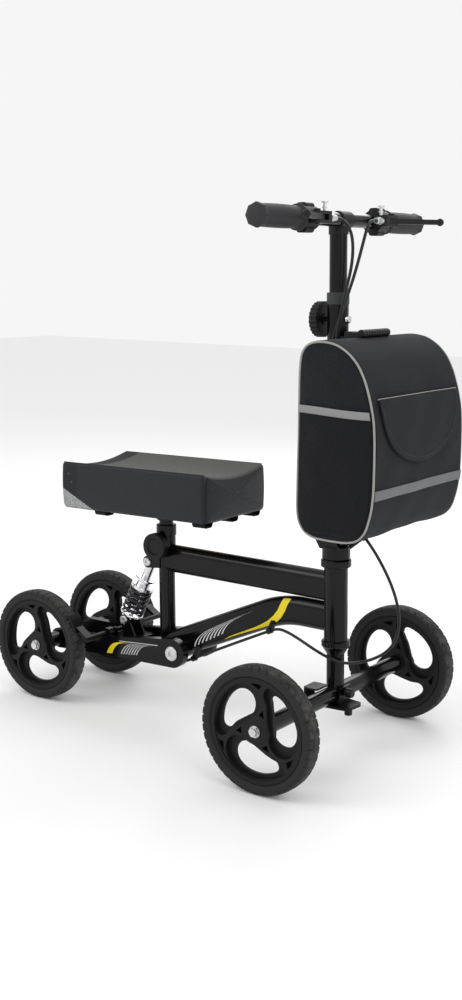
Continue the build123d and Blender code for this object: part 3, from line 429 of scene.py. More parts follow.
def seat_vinyl(colour):
    """Seat cover: diagonal twill on the sides, brushed top, plain strip and grey patch at the rear."""
    f = Finish("Seat cover")
    u, v = f.parts(f.cloth_uv())[:2]
    along, across, high = side_spot(f)
    level = high - 100.0 - (along - 224.5) * 0.0218
    top = level.soft(330.0, 337.0) * (1 - across.soft(84.5, 86.5))
    top = top.most(level.soft(349.5, 351.5)) * along.under(369.5)
    rear = 1 - along.soft(87.0, 88.5)
    patch = (1 - (high - (402.0 - (along - 50.0) * 0.47)).soft(-0.8, 0.8)) * across.over(86.0)
    diagonal = (u + v) * (2 * math.pi / 0.0062)
    cross = (u - v * 0.35) * (2 * math.pi / 0.0036)
    twill = diagonal.sine() * 0.5 + 0.5
    weave = twill * (cross.sine() * 0.25 + 0.75)
    side = (1 - top) * (1 - rear) * (1 - patch)
    heather = f.noise(700.0, 2.0).soft(0.35, 0.7)
    brushed = f.noise(1.0, 3.0, f.scaled(f.spot(), 900.0, 900.0, 900.0)).soft(0.3, 0.8)
    cloud = f.noise(6.0, 2.0)
    body = f.mix(weave * side, colour, shade(colour, 3.2))
    worn = f.mix(cloud, (0.066, 0.065, 0.063), (0.09, 0.088, 0.085))
    body = f.mix(top, body, f.mix(brushed, (0.045, 0.044, 0.043), worn))
    body = f.mix(rear * (1 - patch), body, shade(colour, 1.25))
    body = f.mix(patch, body, f.mix(heather, (0.16, 0.165, 0.17), (0.44, 0.44, 0.44)))
    dots = sum(((along - px) * (along - px) + (high - pz) * (high - pz)).math("SQRT").under(2.0)
               for px, pz in ((66.7, 427.2), (74.0, 413.3))) * across.over(86.0)
    body = f.mix(dots, body, (0.05, 0.05, 0.052))
    f.set(base_color=body, roughness=0.46 + top * 0.3 + patch * 0.3 + rear * 0.1,
          specular_ior_level=0.25)
    f.shader.inputs["Sheen Weight"].default_value = 0.05
    f.bump(weave * side + (brushed + heather) * 0.4, 0.00035, 0.8)
    return f.material


def plywood(colour):
    """Birch plywood: grain along the board and stacked plies at the edge."""
    f = Finish("Plywood")
    grain = f.noise(1.0, 5.0, f.scaled(f.spot(), 6.0, 120.0, 120.0))
    ply = (f.parts(f.spot())[2] * (2 * math.pi / 0.003)).sine() * 0.5 + 0.5
    f.set(base_color=f.mix(grain * 0.7 + ply * 0.3, shade(colour, 0.6), colour),
          roughness=0.6 + grain * 0.2)
    return f.bump(grain, 0.0002, 0.5).material


# ---------------------------------------------------------------- settings
def length(name, default, description):
    return bpy.props.FloatProperty(name=name, default=default, description=description, unit="LENGTH",
                                   precision=4)


def colour(name, default, description):
    return bpy.props.FloatVectorProperty(name=name, default=default, description=description,
                                         subtype="COLOR", size=3, min=0.0, max=1.0)


class ScooterWheelSettings(bpy.types.PropertyGroup):
    tread_depth: length("Tread depth", 0.0027, "Depth of the grooves and side notches of a tyre")
    rubber: colour("Rubber", (0.014, 0.014, 0.0148), "Colour of clean tyre rubber")
    nylon: colour("Rim", (0.008, 0.008, 0.0085), "Colour of the moulded rims")
    blocks: bpy.props.IntProperty(name="Tread blocks", default=44, description="Side notches round a tyre")


class ScooterSoftSettings(bpy.types.PropertyGroup):
    seat_dip: length("Knee channel", 0.012, "Depth of the channel along the seat")
    seat_bulge: length("Seat bulge", 0.0025, "How far the sides of the seat swell")
    bag_bulge: length("Bag bulge", 0.007, "How far the side panels of the bag swell")
    piping: length("Piping", 0.0017, "Radius of the bag's edge piping")
    seat_cover: colour("Seat cover", (0.0046, 0.0053, 0.0068), "Darkest thread of the seat cover")
    bag_cloth: colour("Bag cloth", (0.0092, 0.0099, 0.012), "Colour of the bag's cloth")
    grip: colour("Grip", (0.026, 0.026, 0.028), "Colour of the grip rubber")


class ScooterStageSettings(bpy.types.PropertyGroup):
    floor: colour("Floor", (0.9, 0.9, 0.9), "Colour of the floor")
    key_power: bpy.props.FloatProperty(name="Key light", default=34.0,
                                       description="Power of the key light, in watts")


# ---------------------------------------------------------------- wheels
def tyre_grid(centre, depth, blocks):
    """A ring whose section is a rounded box: the distance from the hub is 92.5 plus 9.1 times the sine to the
    power 0.62, sign kept, and the offset along the axle is 15.6 times the cosine to the power 0.55. The
    tread drops by the depth along four grooves and at evenly spaced slanted notches on both shoulders."""
    turn = np.linspace(0, 2 * math.pi, 528, endpoint=False)[:, None]
    section = np.linspace(0, 2 * math.pi, 72, endpoint=False)[None]
    s, c = np.sin(section), np.cos(section)
    radial = np.sign(s) * np.abs(s) ** 0.62
    axial = np.sign(c) * np.abs(c) ** 0.55
    r = 92.5 + 9.1 * radial + 0 * turn
    w = 15.6 * axial + 0 * turn
    tread = smooth_step((radial - 0.55) / 0.3)
    groove = sum(np.exp(-(((w - g) / 0.85) ** 2)) for g in (-7.2, -2.3, 2.3, 7.2))
    slant = turn * blocks / (2 * math.pi) + np.abs(w) * 0.035
    notch = smooth_step((np.cos(2 * math.pi * slant) - 0.72) / 0.16)
    shoulder = smooth_step((np.abs(w) - 8.6) / 1.2) * smooth_step((radial - 0.15) / 0.3)
    centre_cut = smooth_step((np.cos(2 * math.pi * (slant + 0.5)) - 0.9) / 0.08)
    centre_cut = centre_cut * smooth_step((6.4 - np.abs(w)) / 1.0) * 0.5 * tread
    r = r - depth * 1000 * (tread * np.clip(groove, 0, 1) * 0.75 + shoulder * notch + centre_cut)
    bead = np.exp(-(((r - 86.5) / 0.8) ** 2)) * (np.abs(axial) > 0.9) * 0.5
    w = w + np.sign(w) * bead
    x, y, z = centre
    grid = place(x + r * np.cos(turn), y + w, z + r * np.sin(turn))
    uv = np.stack(np.broadcast_arrays(np.linspace(0, 1, 529)[:, None], np.linspace(0, 1, 73)[None]), -1)
    return grid, uv


class SCOOTER_OT_tyres(bpy.types.Operator):
    """Makes the four treaded tyres"""
    bl_idname = "scooter.tyres"
    bl_label = "Tyres"

    def execute(self, context):
        s = context.scene.scooter_wheels
        rubber = tyre_rubber(tuple(s.rubber))
        for name in WHEELS:
            low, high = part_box("tyre_" + name)
            middle = (low + high) * 500
            centre = (middle.x - REAR_AXLE * 1000, middle.y, middle.z)
            grid, uv = tyre_grid(centre, s.tread_depth, s.blocks)
            tyre = skin("tread_" + name, grid, True, True, uv=uv)
            fix_ring(tyre, middle / 1000)
            tyre.data.materials.append(rubber)
            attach(tyre, "wheel_" + name)
            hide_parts("tyre_" + name)
        return {"FINISHED"}


def fix_ring(thing, middle):
    """Turns a ring's faces outwards: away from the circle through the middle of its section."""
    mesh = thing.data
    n = len(mesh.polygons)
    centre, normal = np.empty(n * 3), np.empty(n * 3)
    mesh.polygons.foreach_get("center", centre)
    mesh.polygons.foreach_get("normal", normal)
    centre, normal = centre.reshape(-1, 3) - np.array(middle), normal.reshape(-1, 3)
    radius = np.linalg.norm(centre[:, [0, 2]], axis=1, keepdims=True)
    core = centre * [1, 0, 1] / np.maximum(radius, 1e-9) * TYRE_CORE
    if ((centre - core) * normal).sum() < 0:
        mesh.flip_normals()


# ---------------------------------------------------------------- seat
def seat_grid(dip, bulge):
    """A box section with rounded corners whose top dips as a parabola, carried along the seat. Near both
    ends the section shrinks on a quarter circle, and rings then close each end with a slight crown."""
    half, low, high, r = 88.0, 267.7, 352.0, 6.0
    corner = np.linspace(0, math.pi / 2, 9)[1:-1]

    def arc(cy, ch, start):
        return np.stack((cy + r * np.cos(corner + start), ch + r * np.sin(corner + start)), -1)

    bottom = np.stack((np.linspace(-half + r, half - r, 40), np.full(40, low)), -1)
    right = np.stack((np.full(22, half), np.linspace(low + r, high - r, 22)), -1)
    top_y = np.linspace(half - r, -half + r, 60)
    top = np.stack((top_y, np.full(60, high)), -1)
    left = np.stack((np.full(22, -half), np.linspace(high - r, low + r, 22)), -1)
    loop = np.concatenate((bottom, arc(half - r, low + r, -math.pi / 2), right,
                           arc(half - r, high - r, 0), top, arc(-half + r, high - r, math.pi / 2), left,
                           arc(-half + r, low + r, math.pi)))
    y, h = loop[:, 0], loop[:, 1]
    upper = smooth_step((h - 300) / 52)
    belly = np.sin(np.clip((h - low) / (high - low), 0, 1) * math.pi)
    y = y + np.sign(y) * bulge * belly * (np.abs(y) > half - 1)
    h = h - dip * upper * (1 - (np.minimum(np.abs(y), half) / half) ** 2) * (np.abs(loop[:, 0]) < half - 1)
    front, back, e = 154.0, -170.0, 9.0
    ease = np.linspace(0, math.pi / 2, 9)
    x = np.concatenate((back + e - e * np.cos(ease), np.linspace(back + e, front - e, 120)[1:-1],
                        front - e + e * np.cos(ease[::-1])))
    inset = np.concatenate((e - e * np.sin(ease), np.zeros(118), e - e * np.sin(ease[::-1])))
    shrink_y = 1 - inset[None] / half
    shrink_h = 1 - inset[None] / 44
    mid = 310.0
    seam = np.exp(-(((x[None] + 136.5) / 1.1) ** 2)) * 1.1
    yy = y[:, None] * shrink_y * (1 - seam / 100)
    hh = mid + (h[:, None] - mid) * shrink_h - seam * smooth_step((h[:, None] - 330) / 8)
    xx = x[None] + 0 * yy
    rings = np.linspace(1, 0.02, 16)[1:][None]
    crown = bulge * (1 - rings ** 2)
    first_y, first_h = yy[:, :1] * rings, mid + (hh[:, :1] - mid) * rings
    last_y, last_h = yy[:, -1:] * rings, mid + (hh[:, -1:] - mid) * rings
    xx = np.concatenate(((back - crown + 0 * first_y)[:, ::-1], xx, front + crown + 0 * last_y), 1)
    yy = np.concatenate((first_y[:, ::-1], yy, last_y), 1)
    hh = np.concatenate((first_h[:, ::-1], hh, last_h), 1)
    girth = np.concatenate(((0.0,), np.cumsum(np.hypot(np.diff(loop[:, 0]), np.diff(loop[:, 1])))))
    girth = np.append(girth, girth[-1] + 2.0)[:, None] / 1000
    along = np.concatenate(((0.0,), np.cumsum(np.abs(np.diff(xx[0])) + np.abs(np.diff(hh[0])))))[None] / 1000
    uv = np.stack(np.broadcast_arrays(girth, along), -1)
    return on_seat_tube(xx, yy, hh), uv


class SCOOTER_OT_seat(bpy.types.Operator):
    """Makes the upholstered knee rest"""
    bl_idname = "scooter.seat"
    bl_label = "Seat"

    def execute(self, context):
        s = context.scene.scooter_soft
        grid, uv = seat_grid(s.seat_dip * 1000, s.seat_bulge * 1000)
        pad = skin("seat_cover", grid, round_u=True, closed_ends=True, uv=uv)
        pad.data.materials.append(seat_vinyl(tuple(s.seat_cover)))
        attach(pad, "seat")
        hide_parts("seat_pad")
        edge_seams()
        straps()
        return {"FINISHED"}


def straps():
    """Webbing tabs under the seat: each is a strip that hangs 7.6 mm down in a square loop, the depth
    falling off with the eighth power of the way across."""
    web = woven("Webbing", (0.006, 0.006, 0.0065), 0.0012, 0.0003, 0.2)
    u = np.linspace(-1, 1, 60)[:, None]
    v = np.linspace(-13, 13, 6)[None]
    for name, x, y in (("rear_right", -84.0, -70.0), ("rear_left", -84.0, 70.0),
                       ("front_right", 134.0, -70.0), ("front_middle", 134.0, 4.0),
                       ("front_left", 134.0, 70.0)):
        h = 268.6 - 7.6 * (1 - u ** 8)
        tab = strip("strap_" + name, on_seat_tube(x + v, y + 11.0 * u, h), web, "seat", 0.0014, (0.03, 0.03),
                    (x + 224.5, y, 372.0))


def edge_seams():
    """Fine sewn welts along the two upper long edges of the seat, each a cord just proud of the cover."""
    thread = moulded("Seat welt", (0.02, 0.02, 0.022), 0.6)
    x = np.linspace(-164.0, 148.0, 90)
    for name, side in (("left", 1), ("right", -1)):
        line = on_seat_tube(x, side * 85.2, 350.3 + 0 * x)
        welt = round_cord("seat_welt_" + name, line, (0, 0, 1), 0.0011, 8, loop=False)
        welt.data.materials.append(thread)
        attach(welt, "seat")


# ---------------------------------------------------------------- bag
def bag_outline(count=260):
    """Side view of the bag, evenly spaced points (x, z) round it: a flat back, a short top, a long round
    front. The corners are softened by repeated averaging with the neighbours."""
    key = np.array([(584, 640), (586, 668), (594, 682), (609, 688), (630, 688.5), (650, 684.5), (670, 673),
                    (686, 657), (699, 633), (709, 603), (715.5, 575), (718, 545), (718.5, 510), (718, 468),
                    (715, 440), (706, 408), (692, 393), (672, 388.3), (640, 388), (612, 389.5), (597, 397.5),
                    (587, 412), (584, 432), (583.6, 500), (583.8, 570)], float)
    closed = np.vstack((key, key[:1]))
    step = np.concatenate(((0,), np.cumsum(np.hypot(*np.diff(closed, axis=0).T))))
    even = np.linspace(0, step[-1], count, endpoint=False)
    line = np.stack((np.interp(even, step, closed[:, 0]), np.interp(even, step, closed[:, 1])), -1)
    for softening in range(14):
        line = 0.5 * line + 0.25 * (np.roll(line, 1, 0) + np.roll(line, -1, 0))
    return line


def front_x(z):
    """x of the bag's front at a height."""
    line = bag_outline()
    front = line[line[:, 0] > 655]
    front = front[np.argsort(front[:, 1])]
    return np.interp(z, front[:, 1], front[:, 0])


def back_x(z):
    line = bag_outline()
    back = line[line[:, 0] < 612]
    back = back[np.argsort(back[:, 1])]
    return np.interp(z, back[:, 1], back[:, 0])


def side_swell(x, z, bulge):
    """How far a side panel stands out at (x, z): the bulge times one less the share of the way out from the
    panel's middle to its edge, to the power 2.4, with a low soft wave of creases."""
    line = bag_outline()
    angle = np.arctan2(line[:, 1] - BAG_Z, line[:, 0] - BAG_X)
    order = np.argsort(angle)
    rim = np.hypot(line[:, 0] - BAG_X, line[:, 1] - BAG_Z)[order]
    a = angle[order]
    at = np.arctan2(z - BAG_Z, x - BAG_X)
    reach = np.interp(at, np.concatenate((a - 2 * math.pi, a, a + 2 * math.pi)), np.tile(rim, 3))
    share = np.clip(np.hypot(x - BAG_X, z - BAG_Z) / reach, 0, 1)
    crease = np.sin(x * 0.09 + z * 0.031) * np.sin(z * 0.045 - 1.0)
    crease = crease + 0.6 * np.sin(x * 0.05 - z * 0.07 + 2.0)
    return bulge * (1 - share ** 2.4) + 3.4 * crease * (1 - share) * share


def front_ripple(y, z):
    """Soft folds of the front: products of slow sine waves across and up the cloth, under 2 mm deep."""
    slow = 1.2 * np.sin(y * 0.031 + z * 0.026) * np.sin(z * 0.021 + 0.6)
    return slow + 0.5 * np.sin(y * 0.074 - z * 0.05 + 1.1)


def front_sag(y):
    """How far the front falls back between the side seams: 1.4 mm in the middle, on a parabola."""
    return 1.4 * (1 - (y / BAG_HALF) ** 2)


def bag_grid(bulge):
    """The outline carried across the bag from one side to the other, drawn in by a quarter circle at the
    two sewn edges, sagging a little between them. Rings inside the outline then close each side over its
    swollen panel."""
    line = bag_outline()
    x, z = line[:, 0][:, None], line[:, 1][:, None]
    half, e = BAG_HALF, 4.0
    ease = np.linspace(0, math.pi / 2, 6)
    y = np.concatenate((-half + e - e * np.cos(ease), np.linspace(-half + e, half - e, 70)[1:-1],
                        half - e + e * np.cos(ease[::-1])))[None]
    inset = np.concatenate((e - e * np.sin(ease), np.zeros(68), e - e * np.sin(ease[::-1])))[None]
    cx, cz = BAG_X, BAG_Z
    out = np.hypot(x - cx, z - cz)
    forward = smooth_step((x - 625) / 60)
    sag = -front_sag(y) * forward
    ripple = front_ripple(y, z) * forward * smooth_step((655 - z) / 60)
    pinch = -1.6 * np.exp(-(((z - 606.5) / 3.0) ** 2)) * forward * (np.abs(y) < 122)
    move = (sag + ripple + pinch - inset) / out
    # the channel for the column is pressed into the back
    channel = smooth_step((44 - np.abs(y)) / 4) * smooth_step((602 - x) / 10)
    xx = x + (x - cx) * move + channel * np.clip(603.5 - x, 0, 20)
    zz = z + (z - cz) * move
    yy = y + 0 * xx
    rings = np.linspace(1, 0.012, 30)[1:][None]
    edge_x, edge_z = xx[:, :1], zz[:, :1]
    rx, rz = cx + (edge_x - cx) * rings, cz + (edge_z - cz) * rings
    swell = half + side_swell(rx, rz, bulge)
    xx = np.concatenate((rx[:, ::-1], xx, rx), 1)
    zz = np.concatenate((rz[:, ::-1], zz, rz), 1)
    yy = np.concatenate((-swell[:, ::-1], yy, swell), 1)
    girth = np.linspace(0, 0.87, 261)[:, None]
    across = np.concatenate((np.linspace(-0.14, 0, 29), 0.003 + np.linspace(0, 0.28, 80),
                             np.linspace(0.285, 0.42, 29)))
    uv = np.stack(np.broadcast_arrays(girth, across[None]), -1)
    return place(xx, yy, zz), uv


def strip(name, grid, material, body, thickness, uv_size, middle=(BAG_X, 0.0, BAG_Z)):
    """A strip of cloth or tape through a grid of points, given its thickness away from the middle."""
    nu, nv = grid.shape[:2]
    u, v = np.linspace(0, uv_size[0], nu)[:, None], np.linspace(0, uv_size[1], nv)[None]
    uv = np.stack(np.broadcast_arrays(u, v), -1)
    piece = skin(name, grid, uv=uv, outward=place(*middle))
    solid = piece.modifiers.new("thickness", "SOLIDIFY")
    solid.thickness, solid.offset = thickness, 1.0
    piece.data.materials.append(material)
    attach(piece, body)
    return piece


def flap_half(z):
    """Half width of the pocket flap at a height: full near the top, then a half ellipse down to its foot."""
    drop = np.clip((592.0 - z) / 88.0, 0, 1)
    return 123.0 * np.sqrt(1 - np.minimum(drop, 0.9995) ** 2.3)


class SCOOTER_OT_bag(bpy.types.Operator):
    """Makes the bag, its piping, tapes, side pockets and front flap"""
    bl_idname = "scooter.bag"
    bl_label = "Bag"

    def execute(self, context):
        s = context.scene.scooter_soft
        bulge = s.bag_bulge * 1000
        cloth = woven("Bag cloth", tuple(s.bag_cloth), 0.0011)
        tape = reflective_tape()
        piping = reflective_tape("Piping", (0.26, 0.255, 0.24))
        grid, uv = bag_grid(bulge)
        shell = skin("bag_shell", grid, round_u=True, closed_ends=True, uv=uv)
        shell.data.materials.append(cloth)
        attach(shell, "bag")
        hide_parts("bag")
        line = bag_outline(300)
        out = np.hypot(line[:, 0] - BAG_X, line[:, 1] - BAG_Z)[:, None]
        welt = line - (line - (BAG_X, BAG_Z)) / out * 2.2
        thread = moulded("Bag thread", (0.045, 0.045, 0.045), 0.7)
        for name, side in (("left", 1), ("right", -1)):
            round_line = place(welt[:, 0], side * 140.2, welt[:, 1])
            edge = round_cord("bag_piping_" + name, round_line, (0, side, 0), s.piping, 10)
            edge.data.materials.append(piping)
            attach(edge, "bag")
            self.side_pocket(name, side, bulge, tape)
        self.front(cloth, piping, thread)
        return {"FINISHED"}

    def side_pocket(self, name, side, bulge, tape):
        """A pocket panel over the lower part of the side, with a grey stitched band along its mouth."""
        mesh_cloth = woven("Pocket cloth", (0.0065, 0.0068, 0.0078), 0.0016, 0.0004, 0.25)
        z = np.linspace(400, 586, 60)[None]
        lo, hi = back_x(z) + 5, front_x(z) - 6
        t = np.linspace(0, 1, 50)[:, None]
        x = lo + (hi - lo) * t
        y = side * (141.0 + side_swell(x, z, bulge))
        panel = strip("pocket_" + name, place(x, y, z), mesh_cloth, "bag", 0.0012, (0.13, 0.19))
        z = np.linspace(0, 1, 7)[None]
        base = 578.5 + 2.0 * np.cos(t * 3.1)
        height = base + 11.5 * z
        x = back_x(height) + 3 + (front_x(height) - 8 - back_x(height)) * t
        y = side * (142.3 + side_swell(x, height, bulge) + 0.5 * np.sin(z * math.pi))
        band = strip("pocket_band_" + name, place(x, y, height), tape, "bag", 0.0009, (0.13, 0.011))

    def front(self, cloth, piping, thread):
        """The flap with its bound top edge and stitched border, and the reflective band below it."""
        z = np.linspace(605.5, 504.6, 70)[None]
        u = np.linspace(-1, 1, 90)[:, None]
        lift = 2.9 + 2.4 * smooth_step((575 - z) / 60) * (1 - 0.35 * u ** 2)
        y = flap_half(z) * u
        x = front_x(z) + lift - front_sag(y) + 0.7 * front_ripple(y, z)
        flap = strip("flap_cloth", place(x, y, z), cloth, "bag_flap", 0.0016, (0.24, 0.1))
        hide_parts("bag_flap")
        y = np.linspace(-124, 124, 120)
        top = place(front_x(605.0) + 3.2 - front_sag(y) + 0.7 * front_ripple(y, 605.0), y, 605.6)
        bound = round_cord("flap_piping", top, (1, 0, 0), 0.0012, 8, loop=False)
        bound.data.materials.append(piping)
        turn = np.linspace(0, math.pi, 160)
        fall = 592.0 - 82.0 * np.sin(turn)
        y = -np.cos(turn) * 117.0
        u = y / np.maximum(flap_half(fall), 1)
        lift = 2.9 + 2.4 * smooth_step((575 - fall) / 60) * (1 - 0.35 * u ** 2)
        x = front_x(fall) + lift + 1.7 - front_sag(y) + 0.7 * front_ripple(y, fall)
        seam = round_cord("flap_stitch", place(x, y, fall), (1, 0, 0), 0.00045, 6, loop=False)
        seam.data.materials.append(thread)
        for piece in (bound, seam):
            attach(piece, "bag_flap")
        z = np.linspace(457.5, 472.5, 6)[None]
        y = np.linspace(-137.5, 137.5, 100)[:, None]
        x = front_x(z) + 0.8 - front_sag(y) + front_ripple(y, z)
        grey = reflective_tape("Front tape", (0.115, 0.122, 0.128))
        band = strip("front_band", place(x, y, z), grey, "bag", 0.0009, (0.28, 0.015))


# ---------------------------------------------------------------- grips
def grip_grid(side):
    """Distance from the bar's axis by the way along the grip: a thin flange, a smooth barrel and a
    faceted end that closes as a dome. A shallow panel is let into the barrel."""
    along = np.concatenate((np.linspace(126.5, 131.5, 8), np.linspace(132, 228, 120),
                            np.linspace(228.6, 242.2, 22)))
    turn = np.linspace(0, 2 * math.pi, 144, endpoint=False)[:, None]
    v = along[None]
    flange = 3.3 * (1 - smooth_step((v - 130.5) / 2.5))
    r = 16.4 + flange + 0.9 * np.sin((v - 132) / 96 * math.pi) * (v < 228)
    panel = smooth_step((np.cos(turn - 2.9) - 0.3) / 0.12)
    r = r - 0.8 * panel * smooth_step((v - 146) / 5) * smooth_step((216 - v) / 5)
    facet = np.cos(((turn * 8 / (2 * math.pi)) % 1 - 0.5) * 2 * math.pi / 8)
    end = smooth_step((v - 226) / 4)
    r = r * (1 - end) + end * 17.4 * 0.965 / facet
    dome = np.clip((v - 234.5) / 7.7, 0, 1)
    r = r * (1 - 0.52 * dome ** 2.6)
    return on_column(7.0 + r * np.cos(turn), side * v + 0 * turn, BAR_H + r * np.sin(turn))


class SCOOTER_OT_grips(bpy.types.Operator):
    """Makes the two rubber grips"""
    bl_idname = "scooter.grips"
    bl_label = "Grips"

    def execute(self, context):
        rubber = moulded("Grip rubber", tuple(context.scene.scooter_soft.grip), 0.55, 900.0, 0.0001)
        first = None
        for name, side in (("left", 1), ("right", -1)):
            grip = skin("grip_" + name, grip_grid(side), round_u=True, closed_ends=True)
            grip.data.materials.append(rubber)
            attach(grip, "post")
            first = first or grip
        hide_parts("grips")
        return {"FINISHED"}


# ---------------------------------------------------------------- shock spring
def spring_grid():
    """A round wire of 2.7 mm radius carried along a helix of 18.8 mm radius: 5.2 turns up the shock's axis,
    with the end turns a little closer together."""
    t = np.linspace(0, 1, 420)[None]
    rise = t - 0.035 * np.sin(2 * math.pi * t)
    count, core, wire, low, high = 5.2, 18.8, 2.7, 18.8, 68.2
    turns = 2 * math.pi * count * t
    ring = np.linspace(0, 2 * math.pi, 12, endpoint=False)[:, None]
    h = low + (high - low) * rise
    pitch = np.arctan2(50.0 / count, 2 * math.pi * core)
    out, up = np.cos(ring) * wire, np.sin(ring) * wire
    a = (core + out) * np.cos(turns) - up * math.sin(pitch) * -np.sin(turns)
    b = (core + out) * np.sin(turns) - up * math.sin(pitch) * np.cos(turns)
    h = h + up * math.cos(pitch)
    ux, uz = np.array(SHOCK_RUN) / math.hypot(*SHOCK_RUN)
    return place(SHOCK_FOOT[0] + a * uz + h * ux, b, SHOCK_FOOT[1] - a * ux + h * uz)


class SCOOTER_OT_spring(bpy.types.Operator):
    """Makes the coil spring of the shock"""
    bl_idname = "scooter.spring"
    bl_label = "Shock spring"

    def execute(self, context):
        coil = skin("shock_coil", spring_grid(), round_u=True, closed_ends=True)
        fix_coil(coil)
        coil.data.materials.append(bare_metal("Spring steel", (0.035, 0.035, 0.038), 0.16, (60, 60, 60)))
        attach(coil, "shock_rod")
        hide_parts("shock_spring")
        foot = place(SHOCK_FOOT[0] + 16 * 0.4288, 0, SHOCK_FOOT[1] + 16 * 0.9034)
        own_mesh(coil)
        return {"FINISHED"}


def fix_coil(thing):
    """Turns the wire's faces outwards, judged at its last closing point."""
    mesh = thing.data
    last = mesh.polygons[len(mesh.polygons) - 1]
    tip = mesh.vertices[len(mesh.vertices) - 1].co
    before = mesh.vertices[400].co
    if last.normal.dot(tip - before) < 0:
        mesh.flip_normals()


# ---------------------------------------------------------------- cables
CABLES = {
    "right": ("post", "column", [
        (592.0, -60.7, 866.5), (592.5, -50.0, 866.4), (594.0, -39.5, 863.0), (596.5, -31.0, 856.0),
        (599.0, -25.8, 846.3), (601.0, -24.0, 835.0), (602.5, -24.3, 820.0), (602.0, -25.5, 799.0),
        (598.5, -27.5, 776.0), (593.5, -29.5, 752.0), (588.5, -31.0, 728.0), (584.0, -32.0, 703.0),
        (580.8, -31.0, 676.0), (579.4, -29.7, 642.0), (580.4, -29.3, 592.0), (581.3, -30.1, 545.0),
        (582.2, -29.3, 508.0), (583.2, -29.7, 470.5)]),
    "left": ("post", "column", [
        (592.0, 60.7, 866.5), (592.5, 50.0, 866.4), (594.0, 39.5, 863.5), (596.0, 30.0, 857.0),
        (597.5, 21.5, 847.0), (598.0, 12.0, 828.0), (597.0, 3.0, 805.0), (594.5, -5.0, 781.0),
        (590.5, -12.5, 757.0), (585.0, -19.0, 733.0), (579.0, -24.5, 709.0), (573.5, -28.0, 684.0),
        (570.8, -29.6, 656.0), (570.6, -29.9, 620.0), (571.6, -29.4, 572.0), (572.8, -30.0, 522.0),
        (574.2, -29.7, 470.5)]),
    "link": ("column", "fork", [
        (579.3, -29.7, 439.7), (581.5, -29.3, 426.0), (586.5, -26.0, 412.5), (591.0, -17.2, 402.3),
        (594.3, -8.0, 396.3), (596.5, 1.4, 390.9), (598.9, 10.5, 385.3), (603.07, 17.53, 377.9),
        (608.2, 20.42, 370.2)]),
    "loop": ("fork", "frame", [
        (613.96, 23.67, 361.55), (622.0, 28.5, 349.0), (637.0, 32.0, 326.0), (652.5, 32.5, 301.0),
        (665.0, 31.5, 277.0), (673.5, 31.0, 251.0), (676.0, 30.5, 224.0), (670.0, 29.5, 198.0),
        (654.0, 27.5, 177.0), (632.0, 21.5, 163.0), (611.0, 7.0, 156.5), (597.5, -14.0, 159.5),
        (579.0, -30.0, 169.5), (553.0, -34.5, 181.0), (526.0, -31.5, 190.5), (500.0, -27.8, 197.5),
        (477.3, -24.74, 199.4), (462.0, -25.0, 192.0)]),
    "rear": ("frame", "swing", [
        (462.0, -25.0, 192.0), (409.0, -25.9, 166.4), (356.0, -25.9, 140.2), (303.0, -25.0, 113.5),
        (276.0, -25.4, 100.8), (247.0, -26.0, 94.5), (220.0, -26.8, 93.5), (193.0, -27.6, 97.0),
        (170.0, -28.0, 101.5), (152.3, -28.0, 103.0)]),
}
# heights near which each cable passes from its first body to its second; the cables step looks up the route
# points nearest them and does nothing more with them
BENDS = {"right": (690, 480), "left": (690, 480), "link": (425, 375), "loop": (345, 200), "rear": (120, 108)}


def cable_piece(name, route, material):
    """A smooth curve drawn by the route's points, thickened to a 5 mm cable: each ring is the curve's point
    plus 2.5 mm times the cosine of the turn to one side and 2.5 mm times its sine upwards."""
    data = bpy.data.curves.new("cable_" + name, "CURVE")
    data.dimensions = "3D"
    line = data.splines.new("NURBS")
    points = place(*np.array(route).T)
    line.points.add(len(points) - 1)
    line.points.foreach_set("co", np.column_stack((points, np.ones(len(points)))).ravel())
    line.order_u = 3
    line.use_endpoint_u = True
    line.resolution_u = 8
    bare = bpy.data.objects.new("cable_line", data)
    bpy.context.scene.collection.objects.link(bare)
    mesh = bpy.data.meshes.new_from_object(bare.evaluated_get(bpy.context.evaluated_depsgraph_get()))
    path = np.array([v.co for v in mesh.vertices])
    bpy.data.objects.remove(bare)
    ahead = np.gradient(path, axis=0)
    ahead /= np.linalg.norm(ahead, axis=1, keepdims=True)
    side = np.cross(ahead, (0.31, 0.93, 0.2))
    side /= np.linalg.norm(side, axis=1, keepdims=True)
    up = np.cross(side, ahead)
    turn = np.linspace(0, 2 * math.pi, 12, endpoint=False)[:, None, None]
    grid = path[None] + 0.0025 * (np.cos(turn) * side + np.sin(turn) * up)
    piece = skin("cable_" + name, grid, round_u=True, closed_ends=True)
    last = piece.data.polygons[len(piece.data.polygons) - 1]
    if last.normal.dot(Vector(ahead[-1])) < 0:
        piece.data.flip_normals()
    piece.data.materials.append(material)
    return piece, path


class SCOOTER_OT_cables(bpy.types.Operator):
    """Makes the brake cables"""
    bl_idname = "scooter.cables"
    bl_label = "Brake cables"

    def execute(self, context):
        jacket = moulded("Cable jacket", (0.014, 0.014, 0.015), 0.28, 600.0, 0.00002)
        for name, (start_body, end_body, route) in CABLES.items():
            piece, path = cable_piece(name, route, jacket)
            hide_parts("brake_cable_" + name)
            high, low = BENDS[name]
            start = min(route, key=lambda p: abs(p[2] - high))
            end = min(route[1:], key=lambda p: abs(p[2] - low))
            if name == "rear":
                start, end = route[3], route[-1]
            tuple(place(*start))
            tuple(place(*end))
            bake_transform(piece)
        return {"FINISHED"}


